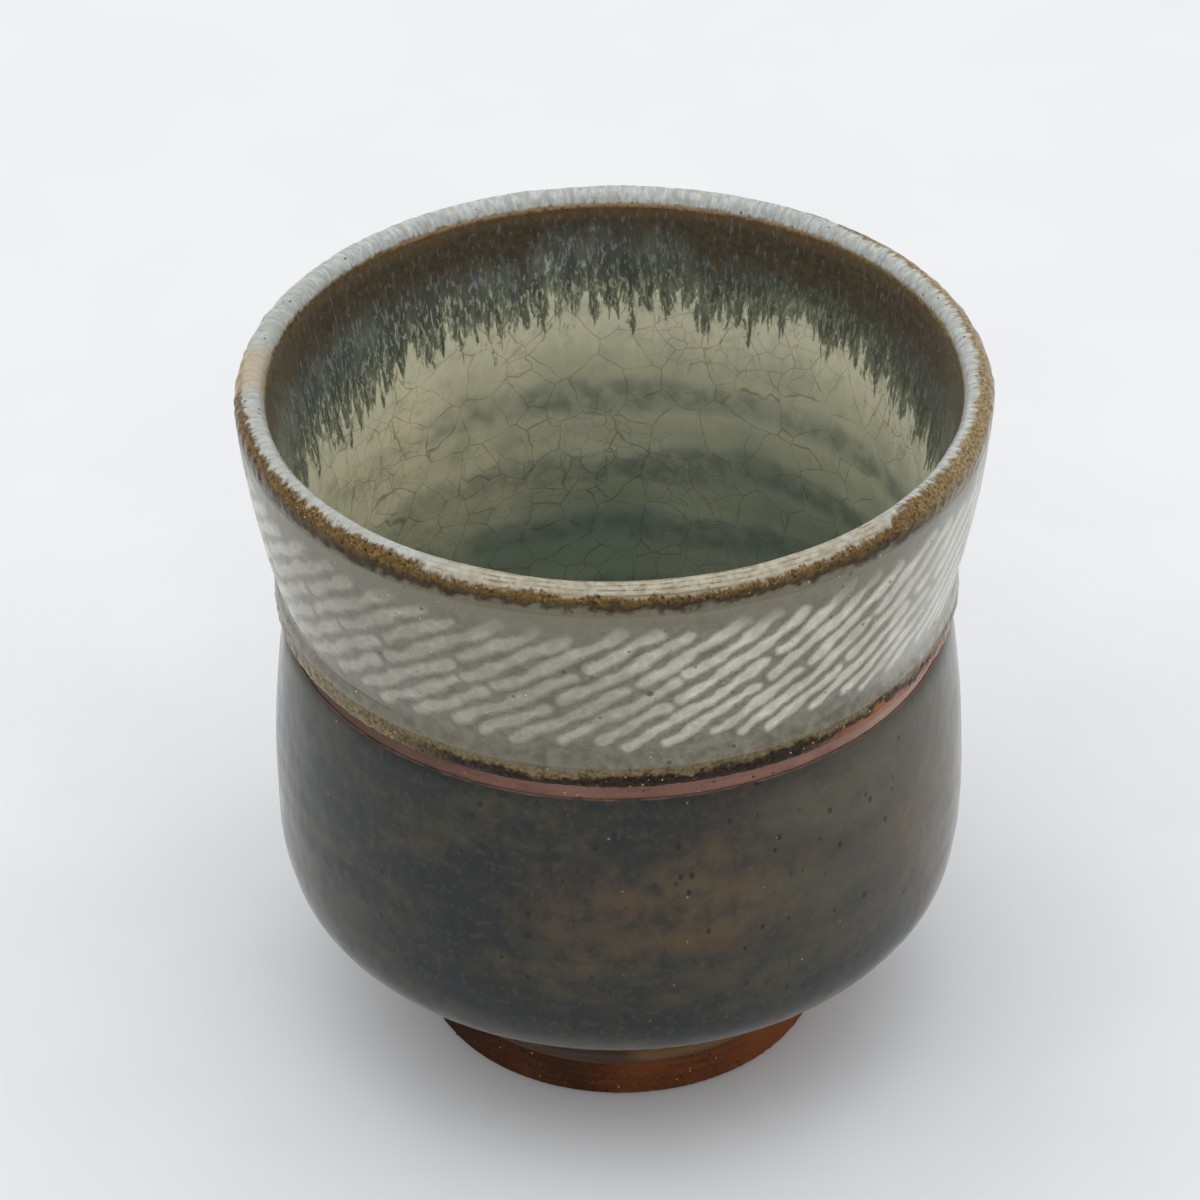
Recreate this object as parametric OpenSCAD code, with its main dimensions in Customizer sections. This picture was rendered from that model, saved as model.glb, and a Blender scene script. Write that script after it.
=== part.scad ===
// Footed tea cup in thrown stoneware.
// The flared collar carries slanted strokes of pale slip, let into the clay and flush with the
// thin grey coat round them.
// A dark coat covers the round body below the ledge, a crackled liner coat covers the inside, and
// a band of iron glaze runs over the lip. The foot ring and a band under the ledge are bare clay.
// The origin is the middle of the resting face, with +Z up.

/* [Clay form] */
// Height of the clay, from the resting face to the crest of the lip
clay_h = 84.8; // [80:0.1:92]
// Widest diameter of the clay, at the outside of the lip
lip_d = 83.1; // [79:0.1:90]
// How far the lip stands out past the ledge band under the collar
lip_reach = 3.25; // [2.4:0.05:4.5]
// Height of the ledge's lower edge above the resting face, as a share of the clay's height
ledge_share = 0.6745; // [0.64:0.0005:0.7]
// Height of the band between the ledge's lower edge and the foot of the collar
band_h = 3.8; // [3:0.1:5]
// How far the top of the body stands in under the ledge band
waist_inset = 1; // [0.7:0.05:2.2]
// How far the belly stands out past the top of the body
belly_bulge = 2.05; // [1.2:0.05:3.6]
// Height of the body's widest place, as a share of the height of the ledge's lower edge
belly_share = 0.5857; // [0.53:0.0001:0.63]
// Angle of the body's underside above the foot, from the level
underside_angle = 46; // [40:1:52]

/* [Walls] */
// Thickness of the clay at the lip
lip_w = 2.4; // [1.8:0.1:3]
// Thickness of the clay from the ledge band to the waist of the inside
ledge_wall = 3.1; // [2.6:0.1:4.3]
// How far the waist of the inside lies below the ledge's lower edge
throat_drop = 5.2; // [3.2:0.1:8.2]
// Height of the clay floor of the inside, at its middle
floor_z = 10.4; // [9:0.1:12]
// Depth of the soft rings that the throwing left on the inside
ring_depth = 0.3; // [0:0.05:0.5]
// Height from one throwing ring to the next
ring_pitch = 9.5; // [7:0.1:12]

/* [Foot ring] */
// Height of the foot ring
foot_h = 6; // [5.4:0.1:7]
// How far the foot ring stands in from the belly
foot_inset = 15.8; // [14.3:0.1:16.8]
// How much the radius of the foot ring grows from its neck down to the resting face
foot_flare = 1.35; // [0.6:0.05:2.5]
// Width of the foot ring at the resting face
foot_wall = 6.05; // [5.05:0.1:8.05]
// Height of the low dome in the ceiling of the recess
recess_dome = 0.8; // [0.2:0.1:1.4]
// Width of the small bevels at the foot ring's edges
foot_bevel = 0.6; // [0.3:0.05:0.9]

/* [Glaze coats] */
// Thickness of every coat of glaze
coat_t = 0.5; // [0.35:0.05:0.7]
// Height at which the dark coat ends on the foot ring
dark_end_z = 4; // [3:0.1:4.8]
// Height of the bare clay between the dark coat and the ledge's lower edge
bare_h = 2.5; // [1.5:0.1:4]
// Height of the iron band on the ledge
iron_band_h = 2.4; // [1.6:0.1:2.8]
// How far the iron glaze of the rim reaches down outside, from the crest of the lip
rim_drop_out = 2.6; // [2:0.1:4]
// How far the even part of the rim glaze reaches down inside, from the crest of the lip
rim_drop_in = 8.5; // [6:0.1:12]
// Number of drips of rim glaze round the inside
drip_count = 40; // [24:1:48]
// Reach of the longest drip below the even part of the rim glaze
drip_reach = 8.5; // [4:0.1:11]

/* [Slip strokes] */
// Number of slanted rows of strokes round the collar
stroke_rows = 60; // [48:1:64]
// Slant of the strokes, from the level
stroke_slope = 35; // [32:1:40]
// Width of a stroke
stroke_w = 1.55; // [1:0.05:1.7]
// Depth to which a stroke is let into the clay
stroke_depth = 0.5; // [0.3:0.05:0.7]
// Gap between two strokes of one row
stroke_gap = 0.9; // [0.6:0.1:1.6]
// Height of the plain clay between the collar's foot and the lowest strokes
stroke_foot = 1.2; // [0.8:0.1:3]
// Height of the plain clay between the highest strokes and the crest of the lip
stroke_head = 4.2; // [3.4:0.1:6]

/* [Hidden] */
$fn = 180;

// Points along each run of the skin
neck_steps = 3;
belly_steps = 16;
wall_steps = 9;
corner_steps = 3;
band_steps = 2;
collar_steps = 5;
lip_steps = 4;
rim_steps = 4;
drip_steps = 3;
throat_steps = 6;
bowl_steps = 26;
floor_steps = 4;
dome_steps = 4;

lip_r = lip_d / 2;
ledge_r = lip_r - lip_reach;
waist_r = ledge_r - waist_inset;
belly_r = waist_r + belly_bulge;
throat_r = ledge_r - ledge_wall;
foot_r = belly_r - foot_inset;
neck_r = foot_r - foot_flare;
recess_r = foot_r - foot_wall;

ledge_z = clay_h * ledge_share;
belly_z = ledge_z * belly_share;
throat_z = ledge_z - throat_drop;

// Reach of the curve's handles from the neck and from the belly, as shares of the rise between them
neck_reach_share = 0.806;
belly_reach_share = 0.682;
// How quickly the wall draws in above the belly
wall_power = 1.66;
// How the collar and its inside flare towards the lip
collar_power = 1.5;
// Depth of the ledge's underside, and the small round at its lower edge
underside_h = 0.6;
ledge_round = 0.35;
// How far the foot of the collar steps in from the ledge band
collar_step = 0.45;
// Place of the lip's crest across its thickness, and the height of its outer and inner rounds
crest_share = 0.6;
lip_round_out = 1.4;
lip_round_in = 1.8;
// Drop of the bowl's upper handle as a share of the bowl's height, and how far both handles
// stand out past the waist of the inside
bowl_drop_share = 0.5825;
bowl_spread = 1.4;
bowl_corner = 0.8;
// Radius of the nearly level floor as a share of the throat's, and how much deeper its middle is
floor_share = 0.398;
floor_dish = 0.4;
// Thickness of a coat at a bare edge, as a share, and the length over which it builds up
edge_share = 0.3;
edge_run = 1.2;
// Lowest and highest throwing ring
ring_low_z = floor_z + 14;
ring_high_z = clay_h - 14;
// Overrun of cuts
over = 1;

ledge_top_z = ledge_z + band_h;
lip_out_z = clay_h - lip_round_out;
lip_in_z = clay_h - lip_round_in;
lip_in_r = lip_r - lip_w;
crest_r = lip_r - lip_w * crest_share;
waist_z = ledge_z - underside_h;
bare_z = ledge_z - bare_h;
collar_foot_r = ledge_r - collar_step;
rim_out_z = clay_h - rim_drop_out;
rim_in_z = clay_h - rim_drop_in;
drip_end_z = rim_in_z - drip_reach;
iron_top_z = ledge_z + iron_band_h;
floor_r = throat_r * floor_share;
floor_rim_z = floor_z + floor_dish;

function mix(a, b, share) = a + (b - a) * share;
function bezier(p, t) =
    pow(1 - t, 3) * p[0] + 3 * t * pow(1 - t, 2) * p[1] + 3 * pow(t, 2) * (1 - t) * p[2] + pow(t, 3) * p[3];
function slice(list, first, last) = [for (i = [first:last]) list[i]];
function flipped(list) = [for (i = [len(list) - 1:-1:0]) list[i]];

// Radius of the outside of the wall above the belly, at a height
function wall_r(z) =
    belly_r - (belly_r - waist_r) * pow(max(z - belly_z, 0) / (waist_z - belly_z), wall_power);
// Radius of the outside of the collar, at a height
function collar_r(z) =
    lip_r - (lip_r - collar_foot_r) * pow(max(lip_out_z - z, 0) / (lip_out_z - ledge_top_z), collar_power);
// How far a throwing ring stands out from the inner wall, at a height
function ring_out(z) =
    z < ring_low_z || z > ring_high_z ? 0 :
    ring_depth * pow(sin(180 * (z - ring_low_z) / (ring_high_z - ring_low_z)), 2)
        * (1 - cos(360 * (z - ring_low_z) / ring_pitch)) / 2;
// Radius of the inside above its waist, at a height, without the throwing rings
function throat_wall_r(z) =
    throat_r + (lip_in_r - throat_r) * pow((z - throat_z) / (lip_in_z - throat_z), collar_power);
// Radius of the foot ring's outside, at a height
function foot_side_r(z) = mix(foot_r, neck_r, z / foot_h);

underside_reach = neck_reach_share * (belly_z - foot_h);
belly_curve = [
    [neck_r, foot_h],
    [neck_r, foot_h] + underside_reach * [cos(underside_angle), sin(underside_angle)],
    [belly_r, belly_z - belly_reach_share * (belly_z - foot_h)],
    [belly_r, belly_z]
];
bowl_curve = [
    [throat_r, throat_z],
    [throat_r + bowl_spread, mix(throat_z, floor_rim_z, bowl_drop_share)],
    [throat_r + bowl_corner, floor_rim_z],
    [floor_r, floor_rim_z]
];

// Runs of the clay's skin, from the foot up the outside, over the lip and down to the floor.
// Each run leaves out its last point, which is the first point of the next run.
run_neck = [for (i = [0:neck_steps - 1])
    let (z = mix(dark_end_z, foot_h, i / neck_steps)) [foot_side_r(z), z]];
run_belly = [for (i = [0:belly_steps - 1]) bezier(belly_curve, i / belly_steps)];
run_wall = [for (i = [0:wall_steps - 1])
    let (z = mix(belly_z, bare_z, i / wall_steps)) [wall_r(z), z]];
run_bare = [[wall_r(bare_z), bare_z], [waist_r, waist_z]];
run_corner = [for (i = [0:corner_steps - 1])
    let (a = mix(-90, 0, i / corner_steps))
    [ledge_r - ledge_round * (1 - cos(a)), ledge_z + ledge_round * (1 + sin(a))]];
run_band = [for (i = [0:band_steps - 1]) [ledge_r, mix(ledge_z + ledge_round, iron_top_z, i / band_steps)]];
run_step = [[ledge_r, iron_top_z], [ledge_r, ledge_top_z - collar_step]];
run_collar = [for (i = [0:collar_steps - 1])
    let (z = mix(ledge_top_z, rim_out_z, i / collar_steps)) [collar_r(z), z]];
run_lip_side = [[collar_r(rim_out_z), rim_out_z]];
run_lip_out = [for (i = [0:lip_steps - 1])
    let (a = 90 * i / lip_steps)
    [mix(crest_r, lip_r, cos(a)), mix(lip_out_z, clay_h, sin(a))]];
run_lip_in = [for (i = [0:lip_steps - 1])
    let (a = 90 * i / lip_steps)
    [mix(crest_r, lip_in_r, sin(a)), mix(lip_in_z, clay_h, cos(a))]];
run_rim = [for (i = [0:rim_steps - 1])
    let (z = mix(lip_in_z, rim_in_z, i / rim_steps)) [throat_wall_r(z) - ring_out(z), z]];
run_drips = [for (i = [0:drip_steps - 1])
    let (z = mix(rim_in_z, drip_end_z, i / drip_steps)) [throat_wall_r(z) - ring_out(z), z]];
run_throat = [for (i = [0:throat_steps - 1])
    let (z = mix(drip_end_z, throat_z, i / throat_steps)) [throat_wall_r(z) - ring_out(z), z]];
run_bowl = [for (i = [0:bowl_steps - 1])
    let (p = bezier(bowl_curve, i / bowl_steps)) p - [ring_out(p[1]), 0]];
run_floor = [for (i = [0:floor_steps])
    let (s = i / floor_steps) [floor_r * (1 - s), floor_z + floor_dish * pow(1 - s, 2)]];

skin = concat(run_neck, run_belly, run_wall, run_bare, run_corner, run_band, run_step, run_collar,
              run_lip_side, run_lip_out, run_lip_in, run_rim, run_drips, run_throat, run_bowl,
              run_floor);

// Places in the skin where the coats begin and end
at_belly = len(run_neck);
at_bare = at_belly + len(run_belly) + len(run_wall);
at_corner = at_bare + len(run_bare);
at_iron_top = at_corner + len(run_corner) + len(run_band);
at_collar = at_iron_top + len(run_step);
at_rim_out = at_collar + len(run_collar);
at_rim_in = at_rim_out + len(run_lip_side) + len(run_lip_out) + len(run_lip_in) + len(run_rim);
at_drip_end = at_rim_in + len(run_drips);
at_floor = len(skin) - 1;

// Outward direction of the skin at a point, which is level and straight down at the two ends
function skin_way(i) =
    let (d = skin[min(i + 1, at_floor)] - skin[max(i - 1, 0)]) [d[1], -d[0]] / norm(d);
// Share of the full thickness at a place that lies some way from a bare edge
function build_up(way) = mix(edge_share, 1, sqrt(1 - pow(1 - min(way / edge_run, 1), 2)));
// Thickness of the coat at a point of the skin
function coat_at(i) =
    i <= at_bare ?
        coat_t * min(build_up(norm(skin[i] - skin[0])), build_up(norm(skin[i] - skin[at_bare]))) :
    i <= at_corner ? coat_t * edge_share :
    coat_t;
skin_coated = [for (i = [0:at_floor])
    let (p = skin[i] + coat_at(i) * skin_way(i)) i == at_floor ? [0, skin[i][1] + coat_t] : p];

// A coat of glaze that lies on the skin between two of its points
module coat(first, last)
    rotate_extrude()
        polygon(concat(slice(skin, first, last), flipped(slice(skin_coated, first, last))));

// Ceiling of the recess in the foot, as a low dome
recess_ceiling = [for (i = [0:dome_steps])
    let (s = i / dome_steps) [recess_r * s, foot_h + recess_dome * (1 - pow(s, 2))]];

// Pattern of the strokes
stroke_low_z = ledge_top_z + stroke_foot;
stroke_high_z = clay_h - stroke_head;
stroke_span = (stroke_high_z - stroke_low_z) / sin(stroke_slope);
stroke_mid_r = collar_r((stroke_low_z + stroke_high_z) / 2);
// Radius at which the prisms of the strokes start, just inside the deepest floor of a stroke
stroke_base_r = collar_foot_r - stroke_depth - over;
stroke_points = 10;
// Squareness of a stroke's rounded ends
stroke_square = 0.55;
// Steps of the scatter of breaks, ends and sways from row to row
break_step = 137.5;
end_step = 101.3;
sway_step = 73.7;
break_share = [0.36, 0.64];
end_scatter = 1.6;
sway = 0.2;

// A value from 0 to 1 that jumps from one number of a row to the next
function scatter(number, step) = (1 + sin(number * step)) / 2;
function sign_pow(v, power) = sign(v) * pow(abs(v), power);
// Outline of a stroke along its own slant: long, slightly bowed sides and rounded ends
function stroke_outline(len, bow) = [for (i = [0:stroke_points - 1])
    let (a = 360 * (i + 0.5) / stroke_points,
         x = sign_pow(cos(a), stroke_square),
         y = sign_pow(sin(a), stroke_square))
    [x * len / 2, y * stroke_w / 2 + bow * (1 - x * x)]];

// One stroke as a prism that runs outwards through the wall, between two places along its row
module stroke_prism(row, from, to) {
    middle = (from + to) / 2;
    turn = 360 * row / stroke_rows + middle * cos(stroke_slope) / stroke_mid_r * 180 / PI;
    bow = sway * (2 * scatter(row, sway_step) - 1);
    rotate([0, 0, turn])
        translate([0, 0, stroke_low_z + middle * sin(stroke_slope)])
            rotate([90, 0, 90])
                rotate([0, 0, stroke_slope])
                    translate([0, 0, stroke_base_r])
                        linear_extrude(height = lip_r + over - stroke_base_r)
                            polygon(stroke_outline(to - from, bow));
}

// Every stroke, in rows of two that break at places scattered from row to row
module stroke_prisms()
    for (row = [0:stroke_rows - 1]) {
        start = end_scatter * scatter(row, end_step);
        end = stroke_span - end_scatter * scatter(row, break_step + end_step);
        break = mix(start, end, mix(break_share[0], break_share[1], scatter(row, break_step)));
        stroke_prism(row, start, break - stroke_gap / 2);
        stroke_prism(row, break + stroke_gap / 2, end);
    }

// Collar skin from its foot to the rim glaze, moved along its normal
function collar_skin(way) = [for (i = [at_collar:at_rim_out]) skin[i] + way * skin_way(i)];

// Pattern of the drips: highest and lowest tip as shares of the reach, and the highest gap
tip_share = [0.4, 1];
gap_share = [0, 0.3];
tip_step = 113.9;
gap_step = 151.1;
arch_steps = 3;
// How far two gaps overlap under the tip between them
gap_lap = 0.1;
gap_half_w = PI * throat_wall_r(rim_in_z) / drip_count;
gap_base_r = throat_r - ring_depth - coat_t - over;

function tip_z(number) =
    rim_in_z - drip_reach * mix(tip_share[0], tip_share[1], scatter(number % drip_count, tip_step));
function gap_top_z(number) =
    rim_in_z - drip_reach * mix(gap_share[0], gap_share[1], scatter(number, gap_step));
// One side of a gap, as a quarter of an ellipse from a drip's tip to the top of the gap
function arch(half_w, low, high) = [for (i = [0:arch_steps])
    let (a = 90 * i / arch_steps) [half_w * cos(a), mix(low, high, sin(a))]];

// The gaps between the drips, as prisms that run outwards through the wall
module drip_gaps()
    for (number = [0:drip_count - 1])
        rotate([0, 0, 360 * number / drip_count])
            rotate([90, 0, 90])
                translate([0, 0, gap_base_r])
                    linear_extrude(height = lip_r + over - gap_base_r)
                        polygon(concat(
                            [[-gap_half_w - gap_lap, drip_end_z - over],
                             [gap_half_w + gap_lap, drip_end_z - over],
                             [gap_half_w + gap_lap, tip_z(number + 1)]],
                            arch(gap_half_w, tip_z(number + 1), gap_top_z(number)),
                            flipped(arch(-gap_half_w, tip_z(number), gap_top_z(number))),
                            [[-gap_half_w - gap_lap, tip_z(number)]]
                        ));

// The strokes cut to the collar, from their depth in the clay out to a distance past its face
module strokes(out)
    intersection() {
        rotate_extrude()
            polygon(concat(collar_skin(-stroke_depth), flipped(collar_skin(out))));
        stroke_prisms();
    }

module clay_body()
    color("#6e5446")
        difference() {
            rotate_extrude()
                polygon(concat(recess_ceiling, slice(skin, at_belly, at_floor)));
            strokes(over);
        }

module foot_ring()
    color("#8a4a2a")
        rotate_extrude()
            polygon([
                [recess_r + foot_bevel, 0],
                [foot_side_r(foot_bevel) - foot_bevel, 0],
                [foot_side_r(foot_bevel), foot_bevel],
                [neck_r, foot_h],
                [recess_r, foot_h],
                [recess_r, foot_bevel]
            ]);

module slip_inlay()
    color("#d8d6c8")
        strokes(coat_t);

module liner_glaze()
    color("#b9b8a2") {
        coat(at_drip_end, at_floor);
        intersection() {
            coat(at_rim_in, at_drip_end);
            drip_gaps();
        }
    }

module rim_glaze()
    color("#5b4d30")
        difference() {
            coat(at_rim_out, at_drip_end);
            drip_gaps();
        }

module collar_glaze()
    color("#8c8a7c")
        difference() {
            coat(at_iron_top, at_rim_out);
            strokes(coat_t + over);
        }

module ledge_iron_band()
    color("#241a12")
        coat(at_corner, at_iron_top);

module body_glaze()
    color("#2f3436")
        coat(0, at_bare);

clay_body();
foot_ring();
slip_inlay();
liner_glaze();
rim_glaze();
collar_glaze();
ledge_iron_band();
body_glaze();
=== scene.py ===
"""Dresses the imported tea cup: thrown stoneware with an inlaid collar, a dark body coat and a crackled inside.

Every piece is a closed shell worked out with numpy from one shared section of the cup, so that the
coats stay seated on the clay. Sizes are in millimetres until a mesh is written, which is in metres.
"""

from __future__ import annotations

import logging
import math
from collections.abc import Callable
from dataclasses import dataclass, field
from enum import Enum
from typing import NamedTuple

import bpy
import numpy as np
from mathutils import Matrix


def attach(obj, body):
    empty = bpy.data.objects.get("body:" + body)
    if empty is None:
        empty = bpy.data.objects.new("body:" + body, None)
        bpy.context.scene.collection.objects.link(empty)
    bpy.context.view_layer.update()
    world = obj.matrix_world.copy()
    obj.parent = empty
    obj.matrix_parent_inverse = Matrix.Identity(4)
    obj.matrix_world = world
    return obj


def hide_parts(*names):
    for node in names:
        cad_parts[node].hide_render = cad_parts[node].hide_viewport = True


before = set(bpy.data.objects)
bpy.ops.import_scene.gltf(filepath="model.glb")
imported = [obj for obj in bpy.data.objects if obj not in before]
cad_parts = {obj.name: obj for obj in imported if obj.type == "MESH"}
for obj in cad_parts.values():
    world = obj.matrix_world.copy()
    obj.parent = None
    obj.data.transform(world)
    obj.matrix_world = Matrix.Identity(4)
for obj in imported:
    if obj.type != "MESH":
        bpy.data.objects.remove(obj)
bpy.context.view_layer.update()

LOG = logging.getLogger("cup")
Array = np.ndarray
Pairs = tuple[tuple[float, float], ...]
MM = 0.001
TURN = 2 * math.pi
FLOW_R = 40.0  # radius in mm at which the meshes carry the place round the cup
BRIGHTEST = 0.95  # upper limit of a colour's channels


class Node(Enum):
    """Names of the solids that the pieces stand for."""

    CLAY = "clay_body"
    FOOT = "foot_ring"
    SLIP = "slip_inlay"
    LINER = "liner_glaze"
    RIM = "rim_glaze"
    COLLAR = "collar_glaze"
    IRON = "ledge_iron_band"
    BODY = "body_glaze"


class Slot(Enum):
    """Names of the record's material slots."""

    CLAY = "bare_clay"
    FOOT = "foot_clay"
    SLIP = "pale_slip"
    LINER = "crackle_liner"
    RIM = "iron_rim"
    COLLAR = "grey_coat"
    IRON = "iron_band"
    BODY = "dark_coat"


# Shared mathematics


def smooth(low: float, high: float, value: Array) -> Array:
    """Rises from 0 at low to 1 at high with level ends, as 3x^2 - 2x^3.

    Args:
        low: Value at which the result is 0.
        high: Value at which the result is 1.
        value: The values to ease.

    Returns:
        An array of shares from 0 to 1.
    """
    share = np.clip((value - low) / (high - low), 0, 1)
    return share * share * (3 - 2 * share)


def mix(a: float | Array, b: float | Array, share: Array) -> Array:
    """The value that lies a share of the way from a to b."""
    return a + (b - a) * share


def bell(distance: Array, width: float) -> Array:
    """A bell-shaped share of 1 at distance 0: exp(-(distance / width)^2 / 2)."""
    return np.exp(-0.5 * (distance / width) ** 2)


def bezier(points: list[tuple[float, float]], t: Array) -> Array:
    """Points of a cubic curve: the four handles weighted by (1-t)^3, 3t(1-t)^2, 3t^2(1-t) and t^3.

    Args:
        points: The curve's four handles.
        t: Places along the curve, from 0 to 1.

    Returns:
        An array of one point per place.
    """
    p = np.array(points, float)
    s = 1 - t
    weights = np.stack([s**3, 3 * t * s**2, 3 * t**2 * s, t**3], axis=1)
    return weights @ p


@dataclass(frozen=True)
class Ripple:
    """Seeded soft noise in space: the mean of plane sine waves in scattered directions.

    Attributes:
        seed: Seed of the directions, lengths and phases.
        wave: Mean wave length in mm.
        count: Number of waves.
        stretch: Factors on x, y and z before the waves are taken.
    """

    seed: int
    wave: float
    count: int = 36
    stretch: tuple[float, float, float] = (1.0, 1.0, 1.0)

    def at(self, points: Array) -> Array:
        """Values of about -1 to 1: the sum of sin(k.p + phase) over the waves, evened by its spread.

        Args:
            points: Places, with x, y and z in the last axis.

        Returns:
            One value per place.
        """
        rng = np.random.default_rng(self.seed)
        ways = rng.normal(size=(self.count, 3))
        ways /= np.linalg.norm(ways, axis=1)[:, None]
        ways *= (TURN / (self.wave * rng.uniform(0.65, 1.6, self.count)))[:, None]
        phases = rng.uniform(0, TURN, self.count)
        flat = (points * np.array(self.stretch)).reshape(-1, 3).astype(np.float32)
        total = np.zeros(len(flat), np.float32)
        for way, phase in zip(ways.astype(np.float32), phases.astype(np.float32)):
            total += np.sin(flat @ way + phase)
        return (total / math.sqrt(self.count)).reshape(points.shape[:-1])


@dataclass(frozen=True)
class RoundNoise:
    """Seeded noise along a circle or a line, as a table of values joined by a smooth curve.

    Attributes:
        seed: Seed of the table.
        count: Number of table values in one turn.
    """

    seed: int
    count: int

    def at(self, angle: Array) -> Array:
        """Values from -1 to 1 at angles in radians: neighbours in the table joined by 3x^2 - 2x^3.

        Args:
            angle: Angles in radians.

        Returns:
            One value per angle.
        """
        table = np.random.default_rng(self.seed).uniform(-1, 1, self.count)
        place = (angle / TURN % 1) * self.count
        first = np.floor(place).astype(int)
        share = smooth(0, 1, place - first)
        return mix(table[first % self.count], table[(first + 1) % self.count], share)


# The cup's section


@dataclass(frozen=True)
class CupForm:
    """The section of the clay and its coats. All sizes are in mm.

    The skin is one path from the dark coat's end on the foot, up the outside, over the lip and
    down the inside to the middle of the floor. A place on it is given by its arc length.
    """

    clay_h: float = 84.8
    lip_r: float = 41.55
    lip_w: float = 2.4
    lip_reach: float = 3.25
    ledge_share: float = 0.6745
    band_h: float = 3.8
    waist_inset: float = 1.0
    belly_bulge: float = 2.05
    belly_share: float = 0.5857
    underside_angle: float = 46.0
    ledge_wall: float = 3.1
    throat_drop: float = 5.2
    floor_z: float = 10.4
    ring_depth: float = 0.3
    ring_pitch: float = 9.5
    ring_margin: float = 14.0
    foot_h: float = 6.0
    foot_inset: float = 15.8
    foot_flare: float = 1.35
    foot_wall: float = 6.05
    foot_bevel: float = 0.6
    recess_dome: float = 0.8
    coat_t: float = 0.5
    dark_end_z: float = 4.0
    bare_h: float = 2.5
    iron_band_h: float = 2.4
    rim_drop_out: float = 2.6
    rim_drop_in: float = 8.5
    drip_reach: float = 8.5
    neck_reach_share: float = 0.806
    belly_reach_share: float = 0.682
    wall_power: float = 1.66
    collar_power: float = 1.5
    underside_h: float = 0.6
    ledge_round: float = 0.35
    collar_step: float = 0.45
    crest_share: float = 0.6
    lip_round_out: float = 1.4
    lip_round_in: float = 1.8
    bowl_drop_share: float = 0.5825
    bowl_spread: float = 1.4
    bowl_corner: float = 0.8
    floor_share: float = 0.398
    floor_dish: float = 0.4
    edge_share: float = 0.16
    edge_run: float = 2.2
    iron_edge_pace: float = 2.0
    fillet: float = 0.5
    fillet_reach: float = 1.1
    pace: float = 0.1

    @property
    def ledge_z(self) -> float:
        """Height of the ledge's lower edge."""
        return self.clay_h * self.ledge_share

    @property
    def ledge_top_z(self) -> float:
        """Height of the collar's foot."""
        return self.ledge_z + self.band_h

    @property
    def belly_z(self) -> float:
        """Height of the widest place of the body."""
        return self.ledge_z * self.belly_share

    @property
    def ledge_r(self) -> float:
        """Radius of the ledge band."""
        return self.lip_r - self.lip_reach

    @property
    def waist_r(self) -> float:
        """Radius of the top of the body, under the ledge."""
        return self.ledge_r - self.waist_inset

    @property
    def belly_r(self) -> float:
        """Widest radius of the body."""
        return self.waist_r + self.belly_bulge

    @property
    def throat_r(self) -> float:
        """Radius of the inside at its waist."""
        return self.ledge_r - self.ledge_wall

    @property
    def foot_r(self) -> float:
        """Radius of the foot ring at the resting face."""
        return self.belly_r - self.foot_inset

    @property
    def neck_r(self) -> float:
        """Radius of the foot ring at its neck."""
        return self.foot_r - self.foot_flare

    @property
    def recess_r(self) -> float:
        """Radius of the recess in the foot."""
        return self.foot_r - self.foot_wall

    @property
    def drip_end_z(self) -> float:
        """Height of the end of the longest drip."""
        return self.clay_h - self.rim_drop_in - self.drip_reach

    def wall(self, z: Array) -> Array:
        """Radius of the wall above the belly: it draws in as a power of the height above the belly.

        Args:
            z: Heights in mm.

        Returns:
            The radii.
        """
        top = self.ledge_z - self.underside_h
        share = np.maximum(z - self.belly_z, 0) / (top - self.belly_z)
        return self.belly_r - (self.belly_r - self.waist_r) * share**self.wall_power

    def collar(self, z: Array) -> Array:
        """Radius of the collar: it falls in as a power of the depth below the lip's round.

        Args:
            z: Heights in mm.

        Returns:
            The radii.
        """
        top = self.clay_h - self.lip_round_out
        foot = self.ledge_r - self.collar_step
        share = np.maximum(top - z, 0) / (top - self.ledge_top_z)
        return self.lip_r - (self.lip_r - foot) * share**self.collar_power

    def throwing_ring(self, z: Array) -> Array:
        """How far a throwing ring stands out inside: a cosine wave under a sine-squared swell.

        Args:
            z: Heights in mm.

        Returns:
            The inward lengths in mm.
        """
        low, high = self.floor_z + self.ring_margin, self.clay_h - self.ring_margin
        share = np.clip((z - low) / (high - low), 0, 1)
        wave = 1 - np.cos(TURN * (z - low) / self.ring_pitch)
        return self.ring_depth * np.sin(math.pi * share) ** 2 * wave / 2

    def throat(self, z: Array) -> Array:
        """Radius of the inside above its waist: a power of the height, less the throwing rings.

        Args:
            z: Heights in mm.

        Returns:
            The radii.
        """
        low, high = self.ledge_z - self.throat_drop, self.clay_h - self.lip_round_in
        share = np.maximum(z - low, 0) / (high - low)
        lip_in = self.lip_r - self.lip_w
        return self.throat_r + (lip_in - self.throat_r) * share**self.collar_power - self.throwing_ring(z)

    def runs(self) -> list[tuple[str, Array]]:
        """The skin's runs in order, each named for the place where it begins.

        Returns:
            Pairs of a name and an array of radius and height.
        """
        step = np.linspace(0, 1, 200, endpoint=False)
        quarter = math.pi / 2 * step

        def foot_side(z: Array) -> Array:
            """Radius of the foot's tapered side."""
            return mix(self.foot_r, self.neck_r, z / self.foot_h)

        def straight(first: tuple[float, float], last: tuple[float, float]) -> Array:
            """A straight run between two places."""
            return mix(np.array(first), np.array(last), step[:, None])

        def climb(radius: Callable[[Array], Array], low: float, high: float) -> Array:
            """A run between two heights, whose radius is a function of the height."""
            z = mix(low, high, step)
            return np.stack([radius(z), z], 1)

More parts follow.
